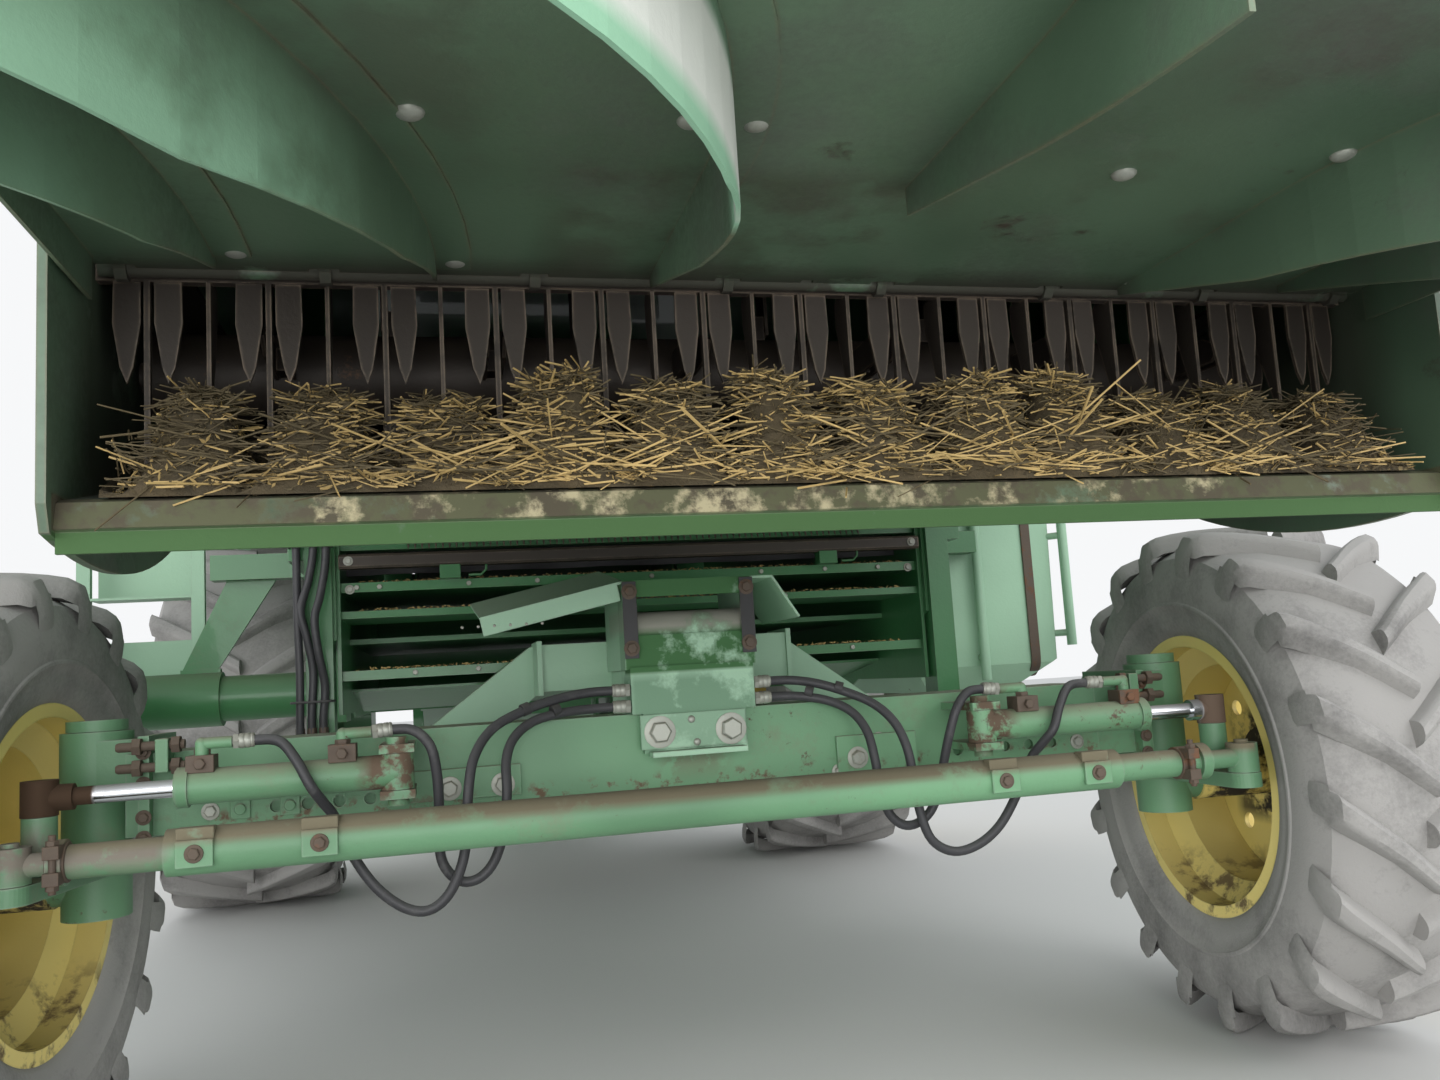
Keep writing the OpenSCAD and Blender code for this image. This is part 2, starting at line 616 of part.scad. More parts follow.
module chopper_housing() {
    drum = knife_r + 26;
    inside = plate_half - 12;
    // Where the curved floor passes into the flat one, behind and below the rotor.
    flat_y = rotor_y - 158;
    flat_z = rotor_z - sqrt(drum * drum - 158 * 158);
    color(green) {
        // Side plates with a wide curved belly.
        both_sides() difference() {
            translate([inside, 0, 0]) rotate([90, 0, 90]) linear_extrude(12) intersection() {
                translate([-1090, 2444]) circle(r = belly_r, $fn = 128);
                polygon([[-1332, 1280], [-1300, 1200], [-560, 1200], [-560, hood_z], [-1332, hood_z]]);
            }
            x_bar(inside - 1, plate_half + 1, rotor_y, rotor_z, rotor_shaft_r + fit);
        }
        // Flanges that the hood stands on.
        both_sides() block([hood_half - 14, -1270, hood_z - 8], [inside + 1, -560, hood_z]);
        // Curved floor from the front wall to the rear lip.
        intersection() {
            difference() {
                x_bar(-inside, inside, rotor_y, rotor_z, drum + 8);
                x_bar(-inside - 1, inside + 1, rotor_y, rotor_z, drum);
            }
            block([-plate_half, flat_y - 2, rotor_z - 400], [plate_half, rotor_y + 400, rotor_z + 20]);
        }
        side_slab([[rotor_y + drum, rotor_z + 15], [rotor_y + drum + 8, rotor_z + 15], [-560, hood_z], [-568, hood_z]],
            -inside, inside);
        // Rear lip with its folded edge.
        side_slab([[flat_y, flat_z - 10], [flat_y, flat_z], [lip_y + 20, lip_z], [lip_y + 4, lip_z - 6], [lip_y - 6, lip_z - 40],
            [lip_y + 2, lip_z - 43], [lip_y + 2, lip_z - 70], [lip_y + 10, lip_z - 70], [lip_y + 10, lip_z - 20]], -inside, inside);
        // Hinge strip of the spreader board, under the hood's rear edge.
        block([-inside, board_y + 14, hood_z - 46], [inside, board_y + 22, hood_z]);
        block([-inside, -1270, hood_z - 8], [inside, board_y + 22, hood_z]);
        both_sides() for (x = [120, 420, 720, 990]) difference() {
            side_slab([[board_y + 15, hood_z - 7], [board_y + 15, board_z - 8], [board_y + 6, board_z - 18], [board_y - 8, board_z - 18],
                [board_y - 18, board_z - 6], [board_y - 18, hood_z - 7]], x, x + 16);
            x_bar(x - 1, x + 17, board_y, board_z, hinge_r + fit);
        }
    }
}

module counter_knives() {
    bar_y = board_y + 22;
    color(black) block([-plate_half + 12, bar_y, 1630], [plate_half - 12, bar_y + 18, hood_z - 8]);
    color(rust) for (i = [0 : knife_rows - 1]) {
        x = knife_x(i);
        // Long bar at each station, with a leaf-shaped blade on either side.
        side_slab([[bar_y, 1660], [bar_y + 1, 1345], [bar_y + 7, 1338], [bar_y + 13, 1400], [bar_y + 15, 1660]], x - 4, x + 4);
        for (s = [-1, 1]) front_slab([[x + s * 9, 1660], [x + s * 44, 1660], [x + s * 46, 1570], [x + s * 36, 1505],
            [x + s * 27, 1482], [x + s * 19, 1505], [x + s * 9, 1570]], bar_y + 4, bar_y + 10);
        // Short knife between two stations.
        if (i < knife_rows - 1) translate([knife_pitch / 2, 0, 0])
            side_slab([[bar_y, 1660], [bar_y + 2, 1450], [bar_y + 12, 1440], [bar_y + 55, 1590], [bar_y + 55, 1630], [bar_y + 17, 1660]], x - 3, x + 3);
    }
}

module chopper_rotor() {
    color(rust) {
        x_bar(-plate_half + 30, plate_half - 30, rotor_y, rotor_z, 70);
        x_bar(-plate_half - 60, plate_half + 60, rotor_y, rotor_z, rotor_shaft_r);
        for (i = [1 : knife_rows - 2], k = [0 : 1]) {
            translate([knife_x(i), rotor_y, rotor_z]) rotate([i * 90 + k * 180, 0, 0]) {
                // Lug on the tube and the pair of knives that hang in it.
                block([-10, -18, 60], [10, 18, 112]);
                for (side = [-1, 1]) side_slab([[-24, 76], [24, 76], [24, knife_r - 46], [0, knife_r], [-24, knife_r - 30]],
                    side * 13 - 3, side * 13 + 3);
            }
        }
    }
}

// Spreader vanes: [x of the front tip, its distance behind the board's front edge, straight run,
// radius of the bend (minus bends to the left), height at the front tip].
vanes = [
    [-870, 30, 120, -1300, 12],
    [-574, 0, 0, -1400, 12],
    [-252, 0, 400, -800, 16],
    [23, 350, 300, -2400, 36],
    [556, 0, 380, 800, 12],
    [850, 30, 120, 1000, 12]
];
vane_t = 5;
vane_h = 172;
foot_w = 52;

board_front = board_y - 20;
board_end = 10 - rear_overhang;

// Line that runs off to the right of vane v, seen from above, as [x, y] points from its tip.
function vane_line(v, off) =
    let (
        bend = v[3] < 0 ? -1 : 1, r = abs(v[3]), y = board_front - v[1], bend_y = y - v[2],
        sweep = asin(min(0.98, (bend_y - board_end) / r)), steps = 12
    )
    concat(
        [[v[0] + off, y]],
        [for (i = [0 : steps]) let (a = sweep * i / steps, ra = r - bend * off)
            [v[0] + bend * (r - ra * cos(a)), bend_y - ra * sin(a)]]
    );

module vane_plan(v, left, right) {
    back = vane_line(v, right);
    polygon(concat(vane_line(v, left), [for (i = [len(back) - 1 : -1 : 0]) back[i]]));
}

module spreader_vane(v) {
    y = board_front - v[1];
    under = board_z - board_t / 2;
    intersection() {
        translate([0, 0, under - 400]) linear_extrude(401) vane_plan(v, -vane_t / 2, vane_t / 2);
        side_slab([[y + 1, under + 2], [y + 1, under - v[4]], [y - 320, under - 100], [y - 720, under - vane_h],
            [board_end - 40, under - vane_h], [board_end - 40, under + 2]], -plate_half + 30, plate_half - 30);
    }
    // Foot that is bolted to the board.
    intersection() {
        translate([0, 0, under - 4]) linear_extrude(5) vane_plan(v, 0, foot_w);
        block([-plate_half + 40, board_end + 5, under - 10], [plate_half - 40, y - 24, under + 2]);
    }
}

module tailboard() {
    half = plate_half - 22;
    end = -rear_overhang;
    color(green) {
        block([-half, end, board_z - board_t / 2], [half, board_y - 24, board_z + board_t / 2]);
        both_sides() for (x = [[10, 108], [150, 408], [450, 708], [750, 978]])
            block([x[0], board_y - 25, board_z - board_t / 2], [x[1], board_y, board_z + board_t / 2]);
        // Hinge rod with its barrels between the fixed ears.
        x_bar(-half, half, board_y, board_z, hinge_r);
        both_sides() block([half - 5, end, board_z - 62], [half, board_front - 30, board_z]);
        block([-half, end, board_z - 44], [half, end + 5, board_z]);
        for (v = vanes) spreader_vane(v);
    }
}

// Upper works

tank_y = [1500, wheelbase - 480];
tank_half = 1480;
module grain_tank() {
    lower = body_top_z;
    rim_z = lower + 880;
    wall = 10;
    color(green) difference() {
        union() {
            block([-tank_half, tank_y[0], lower], [tank_half, tank_y[1], rim_z]);
            // Extension panels that lean out.
            frustum([tank_half - 20, tank_y[0] + 20, tank_y[1] - 20, rim_z - 1], [tank_half + 60, tank_y[0] - 60, tank_y[1] + 60, rim_z + 320]);
        }
        block([-tank_half + wall, tank_y[0] + wall, rim_z - 380], [tank_half - wall, tank_y[1] - wall, rim_z - 10]);
        frustum([180, tank_y[0] + 300, tank_y[1] - 200, lower + 30], [tank_half - wall, tank_y[0] + wall, tank_y[1] - wall, rim_z - 379]);
        frustum([tank_half - 30 - wall, tank_y[0] + 30 + wall, tank_y[1] - 30 - wall, rim_z - 11], [tank_half + 60 - wall, tank_y[0] - 60 + wall, tank_y[1] + 60 - wall, rim_z + 321]);
    }
}

module engine_block() {
    color([0.3, 0.3, 0.3]) block([-420, 430, body_top_z], [460, 1330, body_top_z + 560]);
}

screen_y = 760;
screen_z = body_top_z + 400;
screen_r = 400;
screen_shaft_r = 30;

module cooling_pack() {
    color(black) {
        block([860, screen_y - 330, body_top_z], [1080, screen_y + 330, body_top_z + 580]);
        x_bar(1079, 1225, screen_y, screen_z, screen_shaft_r);
    }
}

// Deck beside the hood: its rear edge and its two faces.
deck_y = 980;
deck_z = [body_top_z + 32, body_top_z + 62];
hood_top = body_top_z + 740;
module engine_hood() {
    low = body_top_z + 4;
    front = tank_y[0] - 0.3;
    color(green) difference() {
        union() {
            side_slab([[402, low], [402, hood_top - 160], [560, hood_top], [front, hood_top], [front, low]], -1120, 1120);
            block([-1660, deck_y, deck_z[0]], [-1119, front, deck_z[1]]);
        }
        side_slab([[414, low - 1], [414, hood_top - 165], [565, hood_top - 12], [1486, hood_top - 12], [1486, low - 1]], -1108, 1108);
        x_bar(1100, 1130, screen_y, screen_z, 330);
        // Louvres in the left side and the rear.
        for (i = [0 : 7]) {
            block([-1130, 500, body_top_z + 180 + i * 60], [-1100, 1200, body_top_z + 210 + i * 60]);
            block([-700, 390, body_top_z + 140 + i * 50], [700, 420, body_top_z + 164 + i * 50]);
        }
    }
}

module rotary_screen() {
    color(black) translate([1126, screen_y, screen_z]) rotate([0, 90, 0]) difference() {
        union() {
            difference() {
                cylinder(r = screen_r, h = 120);
                translate([0, 0, -1]) cylinder(r = screen_r - 12, h = 113);
            }
            cylinder(r = 55, h = 118);
        }
        translate([0, 0, -1]) cylinder(r = screen_shaft_r + fit, h = 101);
    }
}

// Cab: floor, pillars and roof stand as one welded shell.
cab_half = 850;
cab_y = [wheelbase - 350, wheelbase + 1110];
cab_z = [2060, 3640];
windscreen_r = 2900;

// Curve of the windscreen, seen from the side, as [y, z] points.
function screen_curve(offset) =
    [for (a = [-16 : 2 : 16]) [cab_y[1] + 120 - windscreen_r + (windscreen_r + offset) * cos(a),
        2850 + (windscreen_r + offset) * sin(a)]];

module cab_shell() {
    pillar = concat(
        [for (p = screen_curve(0)) if (p[1] > cab_z[0] + 20 && p[1] < cab_z[1] + 20) p],
        [[cab_y[1] - 40, cab_z[1] + 20], [cab_y[1] - 60, cab_z[0] + 40]]
    );
    roof = cab_half + 20;
    color(green) {
        block([-cab_half, cab_y[0], cab_z[0]], [cab_half, cab_y[1] - 40, cab_z[0] + 50]);
        block([-cab_half, cab_y[0], cab_z[0] + 49], [cab_half, cab_y[0] + 30, 2650]);
        both_sides() {
            block([cab_half - 70, cab_y[0], cab_z[0] + 49], [cab_half, cab_y[0] + 80, cab_z[1] + 10]);
            side_slab(pillar, cab_half - 60, cab_half);
        }
        block([cab_half - 40, cab_y[0] + 79, cab_z[0] + 49], [cab_half, cab_y[1] - 60, 2330]);
        block([-cab_half, cab_y[0] + 79, cab_z[0] + 49], [-cab_half + 40, door_y[0] - 6, 2330]);
        block([-cab_half, door_y[0] - 66, 2329], [-cab_half + 40, door_y[0] - 6, cab_z[1] + 10]);
        // Hinge lugs and pins of the door.
        for (z = door_hinge_z) {
            translate([door_hinge[0], door_hinge[1], z - 40]) cylinder(r = 7, h = 80);
            for (dz = [-34, 26]) {
                block([door_hinge[0] - 13, door_hinge[1] - 50, z + dz], [-cab_half + 1, door_hinge[1] - 5, z + dz + 8]);
                block([door_hinge[0] - 13, door_hinge[1] - 6, z + dz], [door_hinge[0] + 13, door_hinge[1] + 13, z + dz + 8]);
            }
        }
    }
    color(light_green) intersection() {
        side_slab([[cab_y[0] - 60, cab_z[1]], [cab_y[1] + 230, cab_z[1]], [cab_y[1] + 240, cab_z[1] + 80],
            [cab_y[1] + 130, cab_z[1] + 180], [cab_y[0] + 20, cab_z[1] + 190], [cab_y[0] - 70, cab_z[1] + 90]], -roof - 1, roof + 1);
        front_slab([[-roof, cab_z[1] - 1], [roof, cab_z[1] - 1], [roof, cab_z[1] + 90], [roof - 100, cab_z[1] + 200],
            [-roof + 100, cab_z[1] + 200], [-roof, cab_z[1] + 90]], cab_y[0] - 100, cab_y[1] + 300);
    }
}

module cab_glass() {
    color(glass) {
        side_slab(concat(
            [for (p = screen_curve(-6)) if (p[1] > cab_z[0] + 40 && p[1] < cab_z[1]) p],
            [for (i = [16 : -1 : 0]) let (p = screen_curve(-14)[i]) if (p[1] > cab_z[0] + 40 && p[1] < cab_z[1]) p]
        ), -cab_half + 60, cab_half - 60);
        block([cab_half - 24, cab_y[0] + 80, 2330], [cab_half - 16, cab_y[1] - 64, cab_z[1]]);
        block([-cab_half + 70, cab_y[0] + 10, 2650], [cab_half - 70, cab_y[0] + 18, cab_z[1]]);
        block([-cab_half + 16, cab_y[0] + 80, 2330], [-cab_half + 24, door_y[0] - 66, cab_z[1]]);
    }
}

door_w = 850;
door_y = [cab_y[1] - 70 - door_w, cab_y[1] - 70];
door_hinge = [-cab_half - 22, door_y[0] - 3];
door_hinge_z = [2300, 3400];

module cab_door() {
    color(green) for (z = door_hinge_z) {
        difference() {
            union() {
                translate([door_hinge[0], door_hinge[1], z - 24]) cylinder(r = 13, h = 48);
                block([door_hinge[0], door_hinge[1] + 4, z - 24], [-cab_half + 1, door_hinge[1] + 60, z + 24]);
            }
            translate([door_hinge[0], door_hinge[1], z - 25]) cylinder(r = 7 + fit, h = 50);
        }
    }
    color(green) difference() {
        block([-cab_half, door_y[0], cab_z[0] + 54], [-cab_half + 40, door_y[1], cab_z[1] - 6]);
        block([-cab_half - 1, door_y[0] + 60, cab_z[0] + 130], [-cab_half + 41, door_y[1] - 60, cab_z[1] - 70]);
    }
    color(black) block([-cab_half - 35, door_y[1] - 50, 2650], [-cab_half, door_y[1] - 20, 2850]);
}

module door_glass() {
    color(glass) block([-cab_half + 16, door_y[0] + 60, cab_z[0] + 130], [-cab_half + 24, door_y[1] - 60, cab_z[1] - 70]);
}

module operator_seat() {
    y = cab_y[0];
    z = cab_z[0] + 50;
    color(black) {
        block([-200, y + 450, z], [200, y + 800, z + 281]);
        frustum([250, y + 390, y + 900, z + 280], [230, y + 400, y + 870, z + 400]);
        side_slab([[y + 300, z + 399], [y + 440, z + 399], [y + 340, z + 1050], [y + 240, z + 1050]], -230, 230);
        block([270, y + 500, z], [430, y + 1050, z + 560]);
    }
}

module steering_column() {
    y = cab_y[1];
    color(black) {
        block([-60, y - 220, cab_z[0] + 50], [60, y - 110, cab_z[0] + 110]);
        bar([0, y - 170, cab_z[0] + 100], [0, y - 360, cab_z[0] + 700], 45);
        translate([0, y - 370, cab_z[0] + 720]) rotate([25, 0, 0]) {
            difference() {
                cylinder(r = 210, h = 26, center = true);
                cylinder(r = 182, h = 30, center = true);
            }
            cylinder(r = 46, h = 40, center = true);
            for (a = [0, 120, 240]) rotate([0, 0, a + 90]) translate([0, -12, -8]) cube([190, 24, 16]);
        }
    }
}

deck_end = cab_y[1] + 40;
module cab_platform() {
    deck = [-1860, -cab_half - 60];
    x = deck[0] + 20;
    color(green) {
        block([deck[0], cab_y[0] - 70, 2010], [deck[1], deck_end, 2030]);
        block([deck[1] - 5, body_front, 1970], [cab_half, deck_end - 200, cab_z[0]]);
        both_sides() block([half_body + 61, body_front + 30, rail_z[1]], [half_body + 110, feeder_pivot[0] + 120, 1971]);
    }
    color(light_green) {
        rail([[x, deck_end - 20, 2025], [x, deck_end - 20, 3000], [x, deck_end - 550, 3000], [x, deck_end - 550, 2025]], 17);
        rail([[x, deck_end - 650, 2025], [x, deck_end - 650, 3000], [x, cab_y[0], 3000], [x, cab_y[0], 2025]], 17);
        bar([x, deck_end - 650, 2520], [x, cab_y[0], 2520], 14);
    }
}

module front_ladder() {
    x = [-1800, -1340];
    color(light_green) for (e = x) side_slab([[deck_end - 4, 2010], [deck_end + 60, 2010], [deck_end + 280, 560], [deck_end + 216, 560]], e - 6, e + 6);
    color(light_green) block([x[0] - 6, deck_end, 1960], [x[1] + 6, deck_end + 12, 2010]);
    color(black) for (i = [0 : 5]) {
        z = 600 + i * 255;
        y = deck_end + 250 - (z - 560) * 0.142;
        block([x[0] + 5, y - 90, z - 10], [x[1] - 5, y + 70, z + 12]);
    }
}

module service_ladder() {
    x = [-1620, -1300];
    top = deck_z[1] + 488;
    color(light_green) {
        for (e = x) {
            block([e - 19, deck_y - 25, 1010], [e + 19, deck_y, top]);
            block([e - 19, deck_y - 1, top - 38], [e + 19, deck_y + 250, top]);
            block([e - 19, deck_y + 225, deck_z[1]], [e + 19, deck_y + 250, top - 37]);
        }
        for (i = [0 : 4]) {
            z = 1060 + i * 300;
            block([x[0] + 18, deck_y - 25, z], [x[1] - 18, deck_y + 80, z + 8]);
            block([x[0] + 18, deck_y + 68, z + 7], [x[1] - 18, deck_y + 76, z + 175]);
        }
    }
}

module fuel_tank() {
    color(light_green) intersection() {
        front_slab([[1016, 1690], [1016, 1000], [1080, 915], [1400, 915], [1560, 1010], [1570, 1560], [1440, 1690]], 890, 1760);
        side_slab([[900, 1000], [960, 900], [1700, 900], [1750, 1000], [1750, 1600], [1650, 1700], [960, 1700], [900, 1640]], 1000, 1600);
    }
    color(green) for (y = [960, 1620]) block([half_body + 110, y, 1440], [1017, y + 80, 1640]);
    // Guard rails behind the tank, each on two stubs.
    color(light_green) {
        bar([1265, 868, 950], [1265, 868, 1545], 17);
        for (z = [1030, 1500]) bar([1265, 868, z], [1265, 930, z], 12);
        bar([1607, 868, 1055], [1607, 868, 1495], 17);
        for (z = [1100, 1450]) bar([1607, 868, z], [1520, 960, z], 12);
    }
}

module grain_elevator() {
    x = [half_body + 110, half_body + 330];
    rear = wheelbase - 1500;
    color(green) {
        side_slab([[rear, 1030], [rear + 260, 1030], [rear + 440, body_top_z], [rear + 180, body_top_z]], x[0], x[1]);
        x_bar(half_body, x[0] + 1, rear + 135, 1180, 90);
    }
}

cross_auger_y = 865;
cross_auger_z = 1045;

module cross_auger() {
    color(green) {
        x_bar(-1245, -half_body - 70, cross_auger_y, cross_auger_z, 67);
        x_bar(-1600, -1215, cross_auger_y, cross_auger_z, 80);
        block([-1330, cross_auger_y - 15, cross_auger_z + 60], [-1220, cross_auger_y + 15, cross_auger_z + 90]);
    }
}

turret = [-tank_half - auger_r - 40, wheelbase - 700];
auger_z = body_top_z + 830;
turret_top = auger_z - 210;
module auger_turret() {
    color(green) {
        translate([turret[0], turret[1], turret_top - 920]) cylinder(r = auger_r, h = 890);
        translate([turret[0], turret[1], turret_top - 40]) cylinder(r = auger_r + 30, h = 40);
        x_bar(turret[0], -half_body, turret[1], body_top_z - 155, auger_r - 50);
    }
}

module unloading_auger() {
    color(green) {
        translate([turret[0], turret[1], turret_top + 0.3]) cylinder(r = auger_r + 30, h = 36);
        translate([turret[0], turret[1], turret_top + 10]) cylinder(r = auger_r, h = auger_z - turret_top - 10);
        translate([turret[0], turret[1], auger_z]) sphere(r = auger_r);
        translate([turret[0], turret[1], auger_z]) rotate([90, 0, 0]) cylinder(r = auger_r, h = auger_len);
        for (y = [600, 2400, 4200]) translate([turret[0], turret[1] - y, auger_z]) rotate([90, 0, 0])
            cylinder(r = auger_r + 10, h = 40);
    }
}

module auger_spout() {
    color(black) translate([turret[0], turret[1] - auger_len + 250, auger_z]) difference() {
        frustum([130, -160, 160, -auger_r - 260], [160, -190, 190, -auger_r + 60]);
        frustum([118, -148, 148, -auger_r - 261], [148, -178, 178, -auger_r + 20]);
        rotate([90, 0, 0]) cylinder(r = auger_r, h = 500, center = true);
    }
}

module exhaust_stack() {
    color(black) {
        translate([-650, 1150, hood_top]) cylinder(r = 75, h = 380);
        translate([-650, 1150, hood_top + 379]) cylinder(r = 50, h = 240);
        translate([-650, 600, hood_top]) cylinder(r = 140, h = 260);
    }
}

module lamps_and_mirrors() {
    front = cab_y[1] + 240;
    color(black) both_sides() {
        // Mirror on its arm, from the cab roof.
        block([cab_half + 20, front - 90, cab_z[1] + 30], [1364, front - 62, cab_z[1] + 58]);
        block([1336, front - 90, 3480], [1364, front - 62, cab_z[1] + 31]);
        block([1250, front - 96, 2980], [1450, front - 66, 3481]);
        // Work lamps under the roof's front edge.
        for (x = [150, 420, 690]) block([x, cab_y[1] + 150, cab_z[1] - 90], [x + 170, cab_y[1] + 215, cab_z[1]]);
        translate([700, cab_y[0] + 200, cab_z[1] + 190]) cylinder(r = 60, h = 150);
    }
}

// Feeder house

feeder_pivot = [wheelbase - 250, 1600];
trunnion_r = 60;

// Height of the line that runs v above the feeder house's middle, at a given y.
function duct_z(y, v) = feeder_pivot[1] + v / cos(feeder_slope) - (y - feeder_pivot[0]) * tan(feeder_slope);
function duct(y0, y1, v) = [[y0, duct_z(y0, -v)], [y0, duct_z(y0, v)], [y1, duct_z(y1, v)], [y1, duct_z(y1, -v)]];

front_end = wheelbase + front_reach;
feeder_face = front_reach - 90;
face_z = [450, 1190];

module feeder_house() {
    half = feeder_w / 2;
    h = feeder_h / 2;
    rear = feeder_pivot[0] - 60;
    face = wheelbase + feeder_face;
    color(green) {
        difference() {
            side_slab(duct(rear, face, h), -half, half);
            side_slab(duct(rear - 20, face + 20, h - 8), -half + 8, half - 8);
            x_bar(-half - 1, half + 1, drum[0], drum[1], drum_shaft_r + fit);
        }
        both_sides() {
            x_bar(half - 4, half + 120, feeder_pivot[0], feeder_pivot[1], trunnion_r);
            // Stiffening ribs.
            for (y = [face - 1910, face - 1310, face - 710]) side_slab(duct(y, y + 50, h), half - 1, half + 12);
            // Cheek that carries the header's face.
            side_slab([[face - 370, duct_z(face - 370, h - 30)], [face + 8, face_z[1]], [face + 8, face_z[0]], [face - 250, duct_z(face - 250, -h + 30)]], half - 1, half + 11);
        }
        // Ears of the lift cylinders.
        for (side = [-1, 1], dx = [-58, 38]) side_slab([
            [lift_high[0] - 110, duct_z(lift_high[0] - 110, -h + 4)], [lift_high[0] + 110, duct_z(lift_high[0] + 110, -h + 4)],
            [lift_high[0] + 55, lift_high[1] - 40], [lift_high[0] - 45, lift_high[1] - 40]
        ], side * 450 + dx, side * 450 + dx + 20);
        // Upright face that the header hooks on.
        difference() {
            block([-half - 90, face, face_z[0]], [half + 90, front_end, face_z[1]]);
            block([-half + 8, face - 10, face_z[0] + 80], [half - 8, front_end + 10, face_z[1] - 100]);
        }
        x_bar(-half - 90, half + 90, face + 44, face_z[1] + 20, 38);
    }
}

drum_y = wheelbase + feeder_face - 580;
drum = [drum_y, duct_z(drum_y, -20)];
drum_shaft_r = 26;
module feeder_drum() {
    half = feeder_w / 2;
    color(rust) {
        x_bar(-half + 14, half - 14, drum[0], drum[1], 150);
        x_bar(-half - 40, half + 40, drum[0], drum[1], drum_shaft_r);
        for (i = [0 : 5]) translate([0, drum[0], drum[1]]) rotate([i * 60, 0, 0])
            block([-half + 60, -15, 140], [half - 60, 15, 195]);
    }
}

lift_low = [wheelbase + 100, 750];
lift_pin_r = 24;
lift_rod_r = 32;
lift_drop = feeder_h / 2 + 92;
lift_high = [
    feeder_pivot[0] + 1500 * cos(feeder_slope) - lift_drop * sin(feeder_slope),
    feeder_pivot[1] - 1500 * sin(feeder_slope) - lift_drop * cos(feeder_slope)
];
lift_run = lift_high - lift_low;
lift_angle = atan2(lift_run[1], lift_run[0]);

module lift_frame(side) {
    translate([side * 450, lift_low[0], lift_low[1]]) rotate([lift_angle, 0, 0]) children();
}

module lift_barrel(side) {
    color(green) lift_frame(side) difference() {
        union() {
            x_bar(-27, 27, 0, 0, 42);
            rotate([-90, 0, 0]) cylinder(r = 25, h = 90);
            translate([0, 84, 0]) rotate([-90, 0, 0]) cylinder(r = 48, h = 556);
        }
        x_bar(-50, 50, 0, 0, lift_pin_r + fit);
        translate([0, 120, 0]) rotate([-90, 0, 0]) cylinder(r = lift_rod_r + 0.5, h = 530);
    }
}

module lift_rod(side) {
    color(steel) lift_frame(side) {
        translate([0, 260, 0]) rotate([-90, 0, 0]) cylinder(r = lift_rod_r, h = norm(lift_run) - 260);
        translate([0, norm(lift_run), 0]) x_bar(-27, 27, 0, 0, 42);
    }
}

// Side doors: a folded panel with stiffening ribs.
shield_y = [1030, wheelbase - 990];
shield_arms = [1180, 1900, wheelbase - 1058];
shield_hinge = [1600, body_top_z - 35];
module side_shield(side) {
    color(green) mirror([side < 0 ? 1 : 0, 0, 0]) {
        block([1620, shield_y[0], 1570], [1650, shield_y[1], body_top_z - 10]);
        for (z = [1700, 2080, 2400]) block([1650, shield_y[0] + 60, z], [1662, shield_y[1] - 60, z + 50]);
        translate([shield_hinge[0], shield_y[0], shield_hinge[1]]) rotate([-90, 0, 0])
            cylinder(r = 12, h = shield_y[1] - shield_y[0]);
        for (y = [shield_y[0], shield_y[1] - 40]) block([shield_hinge[0], y, shield_hinge[1] - 12], [1621, y + 40, shield_hinge[1] + 12]);
    }
}

placed() chassis_frame();
placed() front_axle();
placed() separator_body();
placed() cleaning_shoe();
placed() rear_hood();
placed() chopper_housing();
placed() counter_knives();
placed() grain_tank();
placed() engine_block();
placed() cooling_pack();
placed() engine_hood();
placed() cab_shell();
placed() cab_glass();
placed() operator_seat();
placed() steering_column();
placed() cab_platform();
placed() front_ladder();
placed() service_ladder();
placed() fuel_tank();
placed() grain_elevator();
placed() cross_auger();
placed() axle_pivot();
placed() axle_beam();
placed() axle_hoses();
placed() auger_turret();
placed() exhaust_stack();
placed() lamps_and_mirrors();
placed() rear_knuckle(-1);  // rear_knuckle_left
placed() rear_knuckle(1);  // rear_knuckle_right
placed() rear_rim(-1);  // rear_rim_left
placed() rear_tyre(-1);  // rear_tyre_left
placed() rear_rim(1);  // rear_rim_right
placed() rear_tyre(1);  // rear_tyre_right
placed() tie_rod();
placed() steer_barrel(-1);  // steer_barrel_left
placed() steer_rod(-1);  // steer_rod_left
placed() steer_barrel(1);  // steer_barrel_right
placed() steer_rod(1);  // steer_rod_right
placed() front_rim(-1);  // front_rim_left
placed() front_tyre(-1);  // front_tyre_left
placed() front_rim(1);  // front_rim_right
placed() front_tyre(1);  // front_tyre_right
placed() feeder_house();
placed() feeder_drum();
placed() lift_barrel(-1);  // lift_barrel_left
placed() lift_rod(-1);  // lift_rod_left
placed() lift_barrel(1);  // lift_barrel_right
placed() lift_rod(1);  // lift_rod_right
placed() chopper_rotor();
placed() tailboard();
placed() unloading_auger();
placed() auger_spout();
placed() cab_door();
placed() door_glass();
placed() side_shield(-1);  // side_shield_left
placed() side_shield(1);  // side_shield_right
placed() rotary_screen();
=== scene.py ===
import math
import random

import bmesh
import bpy
from mathutils import Matrix, Vector, noise


